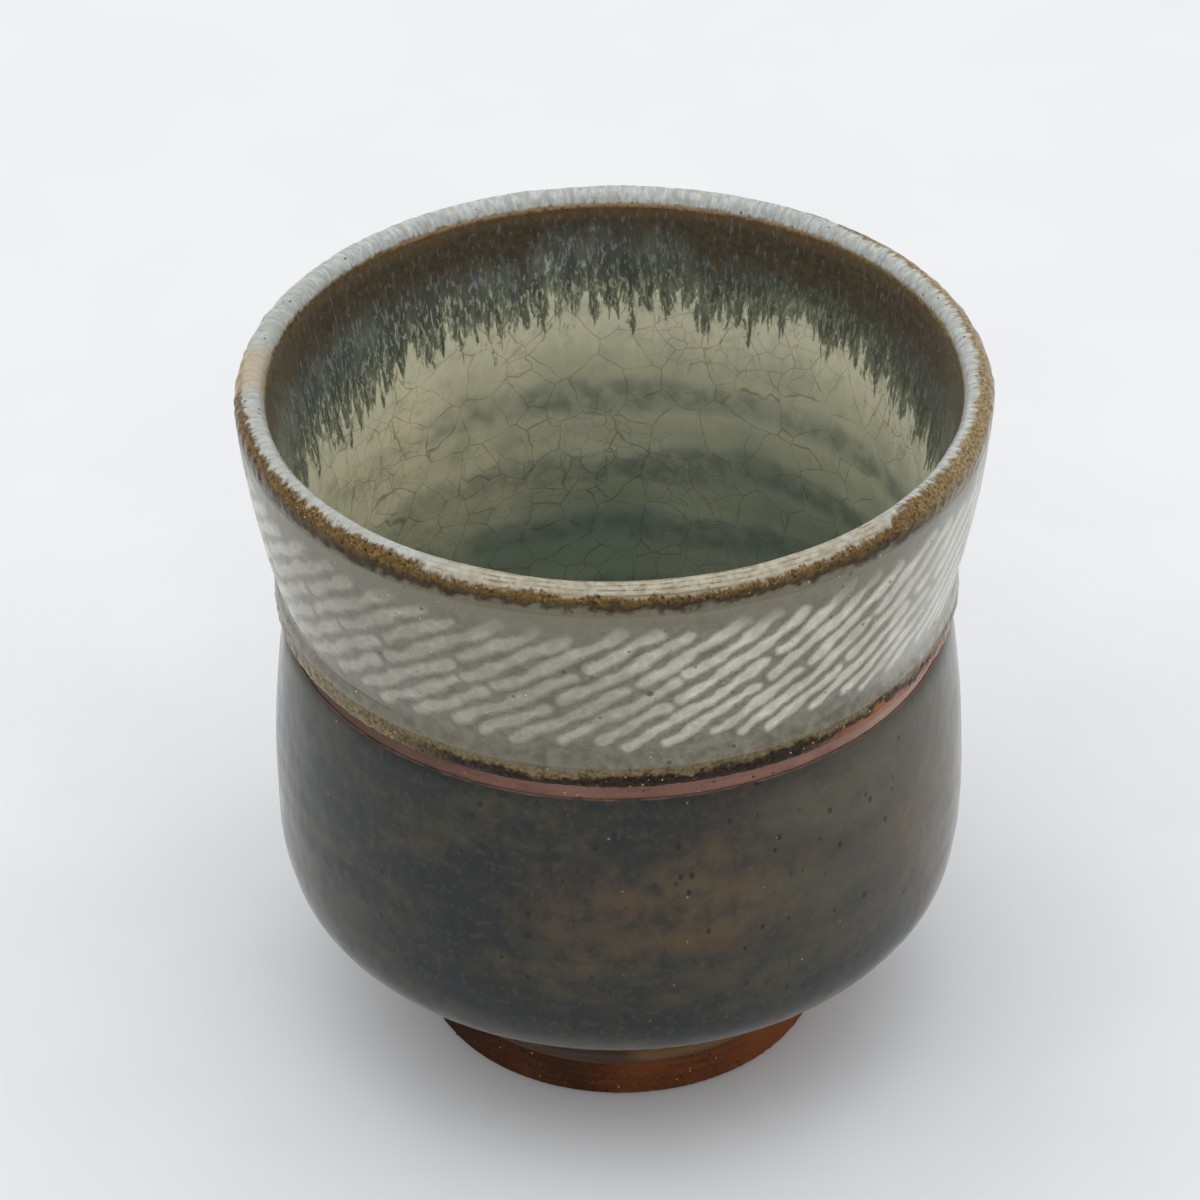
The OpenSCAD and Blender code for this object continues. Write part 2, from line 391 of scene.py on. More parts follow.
        bare_z, waist_z = self.ledge_z - self.bare_h, self.ledge_z - self.underside_h
        iron_z, shoulder_z = self.ledge_z + self.iron_band_h, self.ledge_top_z - self.collar_step
        rim_out_z, rim_in_z = self.clay_h - self.rim_drop_out, self.clay_h - self.rim_drop_in
        throat_z, low_z = self.ledge_z - self.throat_drop, self.floor_z + self.floor_dish
        crest_r, floor_r = self.lip_r - self.lip_w * self.crest_share, self.throat_r * self.floor_share
        step_r = self.ledge_r - self.collar_step
        rise = self.belly_z - self.foot_h
        lean, reach = math.radians(self.underside_angle), self.neck_reach_share * rise
        belly = bezier([
            (self.neck_r, self.foot_h),
            (self.neck_r + reach * math.cos(lean), self.foot_h + reach * math.sin(lean)),
            (self.belly_r, self.belly_z - self.belly_reach_share * rise),
            (self.belly_r, self.belly_z),
        ], step)
        turn = np.radians(mix(-90, 0, step))
        corner = np.stack([self.ledge_r - self.ledge_round * (1 - np.cos(turn)),
                           self.ledge_z + self.ledge_round * (1 + np.sin(turn))], 1)
        lip_out = np.stack([mix(crest_r, self.lip_r, np.cos(quarter)),
                            self.clay_h - self.lip_round_out * (1 - np.sin(quarter))], 1)
        lip_in = np.stack([mix(crest_r, self.lip_r - self.lip_w, np.sin(quarter)),
                           self.clay_h - self.lip_round_in * (1 - np.cos(quarter))], 1)
        bowl = bezier([
            (self.throat_r, throat_z),
            (self.throat_r + self.bowl_spread, mix(throat_z, low_z, self.bowl_drop_share)),
            (self.throat_r + self.bowl_corner, low_z),
            (floor_r, low_z),
        ], step)
        bowl[:, 0] -= self.throwing_ring(bowl[:, 1])
        inwards = np.append(step, 1.0)
        base = np.stack([floor_r * (1 - inwards), self.floor_z + self.floor_dish * (1 - inwards) ** 2], 1)
        return [
            ("dark_end", climb(foot_side, self.dark_end_z, self.foot_h)),
            ("neck", belly),
            ("belly", climb(self.wall, self.belly_z, bare_z)),
            ("bare", straight((float(self.wall(np.array(bare_z))), bare_z), (self.waist_r, waist_z))),
            ("waist", straight((self.waist_r, waist_z), (self.ledge_r - self.ledge_round, self.ledge_z))),
            ("corner", corner),
            ("band", straight((self.ledge_r, self.ledge_z + self.ledge_round), (self.ledge_r, iron_z))),
            ("iron_top", straight((self.ledge_r, iron_z), (self.ledge_r, shoulder_z))),
            ("shoulder", straight((self.ledge_r, shoulder_z), (step_r, self.ledge_top_z))),
            ("collar", climb(self.collar, self.ledge_top_z, rim_out_z)),
            ("rim_out", climb(self.collar, rim_out_z, self.clay_h - self.lip_round_out)),
            ("lip_out", lip_out),
            ("crest", lip_in),
            ("lip_in", climb(self.throat, self.clay_h - self.lip_round_in, rim_in_z)),
            ("rim_in", climb(self.throat, rim_in_z, self.drip_end_z)),
            ("drip_end", climb(self.throat, self.drip_end_z, throat_z)),
            ("throat", bowl),
            ("floor", base),
        ]


class Skin:
    """The skin's path by arc length, bare and coated, with the places where the runs begin."""

    def __init__(self, form: CupForm) -> None:
        """Resamples the section at an even pace, rounds its inner corners and lays the coat on it.

        The coated path is the rounded path plus the coat's thickness along the outward normal.

        Args:
            form: The cup's sizes.
        """
        self.form = form
        runs = form.runs()
        joined = np.concatenate([points for _, points in runs])
        steps = np.linalg.norm(np.diff(joined, axis=0), axis=1)
        length = np.concatenate([[0], np.cumsum(steps)])
        starts = np.cumsum([0] + [len(points) for _, points in runs[:-1]])
        self.mark = {name: float(length[i]) for (name, _), i in zip(runs, starts)}
        self.mark["end"] = float(length[-1])
        self.s = np.linspace(0, length[-1], int(length[-1] / form.pace) + 1)
        self.bare = np.stack([np.interp(self.s, length, joined[:, k]) for k in (0, 1)], 1)
        rounded = self._rounded(self.bare)
        way = np.gradient(rounded, self.s, axis=0)
        way /= np.linalg.norm(way, axis=1)[:, None]
        self.out = np.stack([way[:, 1], -way[:, 0]], 1)
        self.out[-1] = (0, 1)
        self.coated = rounded + self.out * self._thickness()[:, None]
        self.coated[-1] = (0, self.bare[-1, 1] + form.coat_t)

    def _rounded(self, path: Array) -> Array:
        """The path with its corners softened: a bell-weighted mean, used only near the corners.

        Args:
            path: Radius and height of the places.

        Returns:
            The softened path.
        """
        form = self.form
        half = int(4 * form.fillet / form.pace)
        offsets = np.arange(-half, half + 1) * form.pace
        weights = bell(offsets, form.fillet)
        weights /= weights.sum()
        padded = np.pad(path, ((half, half), (0, 0)), mode="edge")
        soft = np.stack([np.convolve(padded[:, k], weights, mode="valid") for k in (0, 1)], 1)
        near = np.zeros(len(path))
        for name in ("neck", "collar"):
            near = np.maximum(near, bell(self.s - self.mark[name], form.fillet_reach))
        return mix(path, soft, near[:, None])

    def _thickness(self) -> Array:
        """Thickness of the coat by arc length: a quarter circle from a bare edge up to the full coat.

        Returns:
            Thicknesses in mm.
        """
        form, mark = self.form, self.mark

        def build(way: Array) -> Array:
            """Share of the full thickness at a distance from a bare edge."""
            return mix(form.edge_share, 1, np.sqrt(1 - (1 - np.clip(way / form.edge_run, 0, 1)) ** 2))

        body = np.minimum(build(self.s), build(mark["bare"] - self.s))
        band = build((self.s - mark["corner"]) * form.iron_edge_pace)
        bare = np.full_like(self.s, form.edge_share)
        share = np.where(self.s <= mark["bare"], body, np.where(self.s <= mark["corner"], bare, band))
        return form.coat_t * share

    def place(self, s: Array, coated: bool = True) -> Array:
        """Radius and height at arc lengths, on the coat or on the clay."""
        path = self.coated if coated else self.bare
        return np.stack([np.interp(s, self.s, path[:, k]) for k in (0, 1)], -1)

    def normal(self, s: Array) -> Array:
        """Outward direction at arc lengths, as radius and height."""
        return np.stack([np.interp(s, self.s, self.out[:, k]) for k in (0, 1)], -1)


@dataclass(frozen=True)
class HandWobble:
    """The slight unevenness of a hand-thrown form, shared by every piece so that the coats stay seated.

    Attributes:
        out: Largest change of the radius at the lip, in mm.
        up: Largest change of the height at the lip, in mm.
        height: Height at which both are reached, in mm.
        out_waves: Share, number a turn and phase of each wave of the radius.
        up_waves: The same for the height.
        droop: Share by which the height falls on the whole.
        low_share: Share of the radius's change that is there at the foot.
        still_r: Radii between which the wobble grows from nothing.
        still_z: Heights between which the radius's does.
    """

    out: float = 0.14
    up: float = 0.22
    height: float = 85.0
    out_waves: tuple[tuple[float, int, float], ...] = ((0.6, 2, 0.7), (0.4, 3, 2.1))
    up_waves: tuple[tuple[float, int, float], ...] = ((0.6, 2, 1.9), (0.4, 3, 0.4))
    droop: float = 0.5
    low_share: float = 0.25
    still_r: tuple[float, float] = (4.0, 20.0)
    still_z: tuple[float, float] = (0.0, 8.0)

    def bend(self, angle: Array, r: Array, z: Array) -> tuple[Array, Array]:
        """Radius and height after the wobble: two and three waves a turn, growing with the height.

        Args:
            angle: Angles round the cup, in radians.
            r: Radii in mm.
            z: Heights in mm.

        Returns:
            The new radii and heights.
        """
        grow = smooth(0, self.height, z)
        side = smooth(*self.still_r, r)
        out = sum(share * np.cos(count * angle + phase) for share, count, phase in self.out_waves)
        up = sum(share * np.sin(count * angle + phase) for share, count, phase in self.up_waves) - self.droop
        out = self.out * out * mix(self.low_share, 1, grow)
        return r + out * side * smooth(*self.still_z, z), z + self.up * up * grow**2 * side


# Mesh making


NO_TRIANGLES = np.zeros((0, 3), int)


def around(r: float | Array, angle: Array, z: Array) -> Array:
    """Points at radii, angles and heights: (r cos a, r sin a, z)."""
    return np.stack(np.broadcast_arrays(r * np.cos(angle), r * np.sin(angle), z), -1)


@dataclass
class Shell:
    """A grid of radius and height by place and angle, closed into one shell.

    Attributes:
        name: Name of the piece.
        angle: Angles of the columns.
        r: Radii in mm, one row per place of the section.
        z: Heights in mm, in the same order.
        way: Signed arc length from the lip's crest, positive inside, in mm.
        closed: True where the section's last row joins its first, False where both ends are poles.
        marks: Further values per vertex, by the name of their attribute.
    """

    name: str
    angle: Array
    r: Array
    z: Array
    way: Array
    closed: bool = True
    marks: dict[str, Array] = field(default_factory=dict)

    def mesh(self, wobble: HandWobble) -> bpy.types.Object:
        """Writes the shell as a mesh of quads, with triangles at its poles.

        Rows run along the section with the solid on their left, so that the faces point outwards.

        Args:
            wobble: The shared unevenness.

        Returns:
            The new object, linked to the scene.
        """
        count, columns = self.r.shape
        r, z = wobble.bend(self.angle[None, :], self.r, self.z)
        points = around(r, self.angle, z).reshape(-1, 3) * MM
        flow = around(FLOW_R, self.angle, self.way).reshape(-1, 3)
        marks = {name: value.reshape(-1) for name, value in self.marks.items()}
        cells = np.arange(count * columns).reshape(count, columns)
        beside = np.roll(cells, -1, axis=1)
        above, above_beside = np.roll(cells, -1, axis=0), np.roll(beside, -1, axis=0)
        quads = np.stack([cells, beside, above_beside, above], -1)
        triangles = NO_TRIANGLES
        if not self.closed:
            quads = quads[:-1]
            low = np.full(columns, count * columns)
            poles = np.array([[0, 0, z[0].mean()], [0, 0, z[-1].mean()]]) * MM
            points = np.concatenate([points, poles])
            flow = np.concatenate([flow, [[0, 0, self.way[0, 0]], [0, 0, self.way[-1, 0]]]])
            marks = {name: np.concatenate([value, [value[0], value[-1]]]) for name, value in marks.items()}
            triangles = np.concatenate([np.stack([low, beside[0], cells[0]], -1),
                                        np.stack([cells[-1], beside[-1], low + 1], -1)])
        return write_mesh(self.name, points, quads.reshape(-1, 4), triangles, {"flow": flow}, marks)


def write_mesh(
    name: str,
    points: Array,
    quads: Array,
    triangles: Array,
    vectors: dict[str, Array],
    values: dict[str, Array],
) -> bpy.types.Object:
    """Writes points and faces into a new smooth-shaded mesh with its attributes.

    Args:
        name: Name of the piece.
        points: Vertices in metres.
        quads: Four vertex numbers per face.
        triangles: Three vertex numbers per face.
        vectors: Attributes of three numbers per vertex.
        values: Attributes of one number per vertex.

    Returns:
        The new object, linked to the scene.
    """
    data = bpy.data.meshes.new(name)
    data.vertices.add(len(points))
    data.vertices.foreach_set("co", points.astype(np.float32).ravel())
    corners = np.concatenate([quads.ravel(), triangles.ravel()]).astype(np.int32)
    sizes = np.concatenate([np.full(len(quads), 4), np.full(len(triangles), 3)])
    data.loops.add(len(corners))
    data.loops.foreach_set("vertex_index", corners)
    data.polygons.add(len(sizes))
    data.polygons.foreach_set("loop_start", np.concatenate([[0], np.cumsum(sizes)[:-1]]).astype(np.int32))
    data.update(calc_edges=True)
    data.validate()
    for key, value in vectors.items():
        attribute = data.attributes.new(key, "FLOAT_VECTOR", "POINT")
        attribute.data.foreach_set("vector", value.astype(np.float32).ravel())
    for key, value in values.items():
        attribute = data.attributes.new(key, "FLOAT", "POINT")
        attribute.data.foreach_set("value", value.astype(np.float32).ravel())
    data.shade_smooth()
    piece = bpy.data.objects.new(name, data)
    bpy.context.scene.collection.objects.link(piece)
    return piece


# Patterns that shape both the meshes and the colours


@dataclass(frozen=True)
class SlipPattern:
    """Slanted rows of slip strokes round the collar, in mm.

    Attributes:
        rows: Number of rows.
        slope: Slant from the level, in degrees.
        width: Mean width of a stroke.
        gap: Mean gap between the two strokes of a row.
        gap_range: Smallest and largest gap as shares of the mean.
        break_range: Nearest and farthest place of the gap, as shares of the row.
        low_z: Height of the lowest strokes.
        high_z: Height of the highest strokes.
        mid_r: Radius at which the slant is taken.
        end_scatter: How far the strokes' ends draw back at most.
        steps: Steps in degrees by which the solids scatter the starts, the breaks and the gaps.
        sways: Size and length of the waves of a row's middle line.
        swells: The same for its width, as shares of the width.
        seed: Seed of the waves' phases.
    """

    rows: int = 60
    slope: float = 35.0
    width: float = 1.55
    gap: float = 0.6
    gap_range: tuple[float, float] = (0.1, 1.5)
    break_range: tuple[float, float] = (0.36, 0.64)
    low_z: float = 62.2
    high_z: float = 80.6
    mid_r: float = 39.75
    end_scatter: float = 2.2
    steps: tuple[float, float, float] = (101.3, 137.5, 73.1)
    sways: Pairs = ((0.16, 11.0), (0.09, 5.3), (0.05, 2.7))
    swells: Pairs = ((0.15, 9.1), (0.13, 4.3), (0.06, 1.9))
    seed: int = 31

    @property
    def slant(self) -> float:
        """The slant in radians."""
        return math.radians(self.slope)

    def scatter(self, number: Array, step: float) -> Array:
        """The solids' scatter: (1 + sin(number x step in degrees)) / 2."""
        return (1 + np.sin(np.radians(number * step))) / 2

    def ends(self, row: Array) -> tuple[Array, Array, Array]:
        """Start, break and end of a row along its slant, as the solids place them.

        Args:
            row: Numbers of the rows.

        Returns:
            Starts, breaks and ends in mm.
        """
        start_step, break_step, _ = self.steps
        span = (self.high_z - self.low_z) / math.sin(self.slant)
        start = self.end_scatter * self.scatter(row, start_step)
        end = span - self.end_scatter * self.scatter(row, break_step + start_step)
        return start, mix(start, end, mix(*self.break_range, self.scatter(row, break_step))), end

    def half_gap(self, row: Array) -> Array:
        """Half the gap between the strokes of a row."""
        return self.gap / 2 * mix(*self.gap_range, self.scatter(row, self.steps[2]))

    def waves(self, terms: Pairs, seed: int, row: Array, along: Array) -> Array:
        """The sum of sine waves along each row, whose phases are drawn by the row.

        Args:
            terms: Size and length of each wave.
            seed: Seed of the phases.
            row: Numbers of the rows.
            along: Lengths along the rows.

        Returns:
            The sums.
        """
        phases = np.random.default_rng(seed).uniform(0, TURN, (len(terms), self.rows))[:, row % self.rows]
        return sum(size * np.sin(TURN * along / length + phase)
                   for (size, length), phase in zip(terms, phases))

    def sway(self, row: Array, along: Array) -> Array:
        """How far a row's middle line strays across its slant, as a sum of sine waves."""
        return self.waves(self.sways, self.seed, row, along)

    def half_width(self, row: Array, along: Array) -> Array:
        """Half the width of a stroke along its row: the mean width, swelling and pinching by sine waves."""
        return self.width / 2 * (1 + self.waves(self.swells, self.seed + 1, row, along))

    def distance(self, angle: Array, z: Array) -> Array:
        """Signed distance in mm to the nearest stroke of the nearest row, negative inside it.

        The row's own angle is the place's angle less the slant's advance. The place's foot on the
        slanted line gives its length along the row; the distance across the slant and past the
        stroke's ends are joined as for a capsule.

        Args:
            angle: Angles round the cup.
            z: Heights in mm.

        Returns:
            The distances.
        """
        along = (z - self.low_z) / math.sin(self.slant)
        base = angle - along * math.cos(self.slant) / self.mid_r
        row = np.round(base / TURN * self.rows).astype(int)
        across = (base - row * TURN / self.rows) * self.mid_r * math.sin(self.slant)
        row = row % self.rows
        along = along + across / math.tan(self.slant)
        across = across - self.sway(row, along)
        half = self.half_width(row, along)
        start, middle, end = self.ends(row)
        first = np.maximum(start - along, along - (middle - self.half_gap(row)))
        second = np.maximum(middle + self.half_gap(row) - along, along - end)
        past = np.minimum(first, second)
        return np.hypot(np.maximum(past + half, 0), across) - half


@dataclass(frozen=True)
class RunPattern:
    """The ragged lower edge of the rim glaze inside, in mm below the lip's crest.

    Attributes:
        base: Mean depth of the edge.
        swells: Depth and number a turn of the slow swells.
        sides: Depth, side in degrees and width of the places where the runs hang longer or shorter.
        drip: Depth of the broad drips.
        tips: Number of broad drips in a turn.
        ranks: Number a turn and depth of each rank of teeth.
        seed: Seed of the swells; drips and teeth take the next ones.
    """

    base: float = 15.5
    swells: Pairs = ((2.6, 7), (1.6, 17))
    sides: tuple[tuple[float, float, float], ...] = ((3.0, 160, 0.12), (-3.8, 42, 0.16))
    drip: float = 2.2
    tips: int = 40
    ranks: Pairs = ((110, 2.4), (240, 1.5))
    seed: int = 77

    def edge(self, angle: Array) -> Array:
        """Depth of the edge: a slow swell round the cup, broad drips, and two ranks of pointed teeth.

        Each tooth rank is a table of depths joined by |x|-shaped flanks, so its tips are pointed.

        Args:
            angle: Angles round the cup.

        Returns:
            The depths in mm.
        """
        swell = sum(depth * RoundNoise(self.seed + i, count).at(angle)
                    for i, (depth, count) in enumerate(self.swells))
        side = sum(depth * np.exp(-((np.cos(angle - math.radians(middle)) - 1) / width) ** 2)
                   for depth, middle, width in self.sides)
        edge = self.base + swell + side + self.drip * np.abs(RoundNoise(self.seed + 2, self.tips).at(angle))
        for i, (count, depth) in enumerate(self.ranks):
            edge = edge + self.teeth(angle, count, depth, self.seed + 3 + i)
        return edge

    def teeth(self, angle: Array, count: int, depth: float, seed: int) -> Array:
        """A rank of pointed teeth: each cell has a triangle of its own depth, (1 - |2x - 1|) deep.

        Args:
            angle: Angles round the cup.
            count: Number of teeth in a turn.
            depth: Depth of the longest, in mm.
            seed: Seed of their depths.

        Returns:
            The depths in mm.
        """
        table = np.random.default_rng(seed).uniform(0, 1, count) ** 1.5
        place = (angle / TURN % 1) * count
        cell = np.floor(place).astype(int) % count
        return depth * table[cell] * (1 - np.abs(2 * (place % 1) - 1))


@dataclass(frozen=True)
class Relief:
    """Small heights on the coats, as functions of place, with their sizes in mm."""

    peel: Ripple = Ripple(11, 2.2, 40)
    unevenness: Ripple = Ripple(12, 11.0, 30)
    grain: Ripple = Ripple(13, 0.9, 44)
    lumps: Ripple = Ripple(14, 1.7, 40)
    rings: Ripple = Ripple(15, 3.0, 30, (0.12, 0.12, 1.0))
    peel_h: float = 0.008
    uneven_h: float = 0.03
    ring_h: float = 0.012

    def coat(self, points: Array) -> Array:
        """A fired glaze's surface: shallow orange peel over broad unevenness and faint wheel marks."""
        return (self.peel_h * self.peel.at(points) + self.uneven_h * self.unevenness.at(points)
                + self.ring_h * self.rings.at(points))


# Shader building


class Tone(NamedTuple):
    """A colour named by its screen values, with the share of light that falls on it."""

    red: int
    green: int
    blue: int
    light: float = 1.0

    def linear(self) -> tuple[float, float, float, float]:
        """The colour made linear by the standard screen curve and divided by its light, with alpha 1.

        Returns:
            Red, green, blue and alpha.
        """
        shares = [value / 255 for value in self[:3]]
        plain = [share / 12.92 if share <= 0.04045 else ((share + 0.055) / 1.055) ** 2.4 for share in shares]
        return (*(min(value / self.light, BRIGHTEST) for value in plain), 1.0)


class Sheet:
    """Places and links nodes in one node tree by short calls."""

    def __init__(self, tree: bpy.types.NodeTree) -> None:
        """Starts on an empty tree."""
        self.tree = tree

    def put(self, kind: str, inputs: dict | None = None, **settings: object) -> bpy.types.Node:
        """Adds a node, sets its properties, and fills its inputs with links or constants.

        Args:
            kind: Blender's type name of the node, without its ShaderNode prefix.
            inputs: Fields, tones or constants by input name or number.
            **settings: Properties of the node.

        Returns:
            The new node.
        """
        node = self.tree.nodes.new("ShaderNode" + kind)
        for key, value in settings.items():
            setattr(node, key, value)
        for key, value in (inputs or {}).items():
            if isinstance(value, Field):
                self.tree.links.new(value.socket, node.inputs[key])
            else:
                node.inputs[key].default_value = value.linear() if isinstance(value, Tone) else value
        return node

    def field(self, kind: str, output: str | int, inputs: dict | None = None, **settings: object) -> Field:
        """Adds a node as put does and takes one of its outputs."""
        return Field(self, self.put(kind, inputs, **settings).outputs[output])

    def object_mm(self) -> Field:
        """The place in the cup's own frame, in mm."""
        return self.field("TexCoord", "Object").stretch(1 / MM, 1 / MM, 1 / MM)

    def flow(self) -> Field:
        """The place along the section and round the cup, as the meshes carry it."""
        return self.field("Attribute", "Vector", attribute_name="flow")

    def read(self, name: str) -> Field:
        """A number of the mesh by its attribute's name."""
        return self.field("Attribute", "Fac", attribute_name=name)

    def placed(self, tree: bpy.types.NodeTree) -> dict[str, Field]:
        """Places a node group and gives its outputs by their names."""
        node = self.put("Group", node_tree=tree)
        return {socket.name: Field(self, socket) for socket in node.outputs}

    def as_group(self, **values: Field) -> bpy.types.NodeTree:
        """Gives the tree one output per value, of its own kind, and links it.

        Args:
            **values: The outputs by their names.

        Returns:
            The finished group.
        """
        end = self.tree.nodes.new("NodeGroupOutput")
        for label, value in values.items():
            kind = "NodeSocketColor" if value.socket.type == "RGBA" else "NodeSocketFloat"
            self.tree.interface.new_socket(label, in_out="OUTPUT", socket_type=kind)
            self.tree.links.new(value.socket, end.inputs[label])
        return self.tree


class Field:
    """A number, place or colour that changes over a surface, with steps that lay further nodes."""

    def __init__(self, sheet: Sheet, socket: bpy.types.NodeSocket) -> None:
        """Holds one output of a sheet's node."""
        self.sheet, self.socket = sheet, socket

    def math(self, operation: str, other: object = 0.0) -> Field:
        """One arithmetic step with another value."""
        return self.sheet.field("Math", 0, {0: self, 1: other}, operation=operation)

    def __add__(self, other: object) -> Field:
        """The sum."""
        return self.math("ADD", other)

    def __sub__(self, other: object) -> Field:
        """The difference."""
        return self.math("SUBTRACT", other)

    def __rsub__(self, other: float) -> Field:
        """A plain number less this."""
        return self.sheet.field("Math", 0, {0: other, 1: self}, operation="SUBTRACT")

    def __mul__(self, other: object) -> Field:
        """The product."""
        return self.math("MULTIPLY", other)

    def ease(self, low: object, high: object, to_low: float = 0.0, to_high: float = 1.0) -> Field:
        """Carries the value between two limits to another range, with level ends."""
        limits = {0: self, 1: low, 2: high, 3: to_low, 4: to_high}
        return self.sheet.field("MapRange", 0, limits, interpolation_type="SMOOTHSTEP")

    def line(self, low: object, high: object, to_low: float = 0.0, to_high: float = 1.0) -> Field:
        """Carries the value between two limits to another range along a straight line."""
        return self.sheet.field("MapRange", 0, {0: self, 1: low, 2: high, 3: to_low, 4: to_high})

    def drift(self, reach: float, margin: float = 0.3) -> Field:
        """A noise made a stray of up to a reach either way, which it meets at the margins of its range."""
        return self.line(margin, 1 - margin, -reach, reach)

    def between(self, first: object, second: object) -> Field:
        """The colour that lies this share of the way from one to another."""
        return self.sheet.field("Mix", 2, {0: self, 6: first, 7: second}, data_type="RGBA")

    def under(self, cover: object, share: Field) -> Field:
        """This colour under another one that covers a share of it."""
        return share.between(self, cover)

    def noise(self, scale: float, detail: float = 3.0, rough: float = 0.5, warp: float = 0.0) -> Field:
        """A noise value of 0 to 1 at this place."""
        inputs = {"Vector": self, "Scale": scale, "Detail": detail, "Roughness": rough, "Distortion": warp}
        return self.sheet.field("TexNoise", "Fac", inputs)

    def stretch(self, x: float, y: float, z: float) -> Field:
        """This place with each coordinate multiplied by a factor."""
        return self.sheet.field("VectorMath", 0, {0: self, 1: (x, y, z)}, operation="MULTIPLY")

    def bent(self, scale: float, reach: float) -> Field:
        """This place moved by a noise of its own on each axis.

        Args:
            scale: Scale of the noise.
            reach: How far it moves a place.

        Returns:
            The moved place.
        """
        stray = self.sheet.field("TexNoise", "Color", {"Vector": self, "Scale": scale})
        moves = {0: self, 1: stray.stretch(reach, reach, reach)}
        return self.sheet.field("VectorMath", 0, moves, operation="ADD")

    def split(self) -> tuple[Field, ...]:
        """The three coordinates of this place, or channels of this colour."""
        return tuple(Field(self.sheet, part) for part in self.sheet.put("SeparateXYZ", {0: self}).outputs)

    def away_from(self, x: float, y: float, z: float) -> Field:
        """Distance of this place from a point."""
        return self.sheet.field("VectorMath", "Value", {0: self, 1: (x, y, z)}, operation="DISTANCE")

    def toward(self, degrees: float) -> Field:
        """How far a flow place lies toward a side of the cup: 1 there, 0 at a right angle, -1 opposite.

        Args:
            degrees: Angle of the side round the cup.

        Returns:
            The cosine of the angle to that side.
        """
        turn = math.radians(degrees)
        side = (math.cos(turn) / FLOW_R, math.sin(turn) / FLOW_R, 0.0)
        return self.sheet.field("VectorMath", "Value", {0: self, 1: side}, operation="DOT_PRODUCT")

    def seams(self, scale: float) -> Field:
        """Distance of this place from the seams between scattered cells, in cells."""
        inputs = {"Vector": self, "Scale": scale}
        return self.sheet.field("TexVoronoi", "Distance", inputs, feature="DISTANCE_TO_EDGE")

    def specks(self, scale: float, size: float, share: float) -> Field:
        """A mask of round specks: cells whose own random value is below a share, out to a radius.

        Args:
            scale: Cells per mm.
            size: Radius of a speck as a share of a cell.
            share: Share of the cells that have one.

        Returns:
            The mask.
        """
        cell = self.sheet.put("TexVoronoi", {"Vector": self, "Scale": scale}, feature="F1")
        chance, spread, _ = Field(self.sheet, cell.outputs["Color"]).split()
        reach = spread.line(0, 1, size * 0.4, size)
        spot = Field(self.sheet, cell.outputs["Distance"]).ease(reach, reach * 0.45)
        return spot * chance.math("LESS_THAN", share)


# The pieces


@dataclass
class Face:
    """Places of the section laid round the cup: one row per arc length, one column per angle.

    Attributes:
        points: Places in mm.
        r: Radii.
        z: Heights.
        normal: Outward directions, as radius and height.
        way: Signed arc lengths from the lip's crest.
    """

    points: Array
    r: Array
    z: Array
    normal: Array
    way: Array

    def lifted(self, height: Array) -> tuple[Array, Array]:
        """Radii and heights after a lift along the outward direction."""
        return self.r + self.normal[..., 0] * height, self.z + self.normal[..., 1] * height


def hand_over(piece: bpy.types.Object, node: Node, finish: Finish) -> None:
    """Dresses a piece and hands it to the frame in place of its solid.

    Args:
        piece: The new object.
        node: The solid that it stands for.
        finish: The finish.
    """
    piece.data.materials.append(finish.material())
    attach(piece, "root")
    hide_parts(node.value)
    low, high = piece.bound_box[0], piece.bound_box[6]
    triangles = sum(len(face.vertices) - 2 for face in piece.data.polygons)
    LOG.info("%s: %d triangles, z %.4f to %.4f", piece.name, triangles, low[2], high[2])


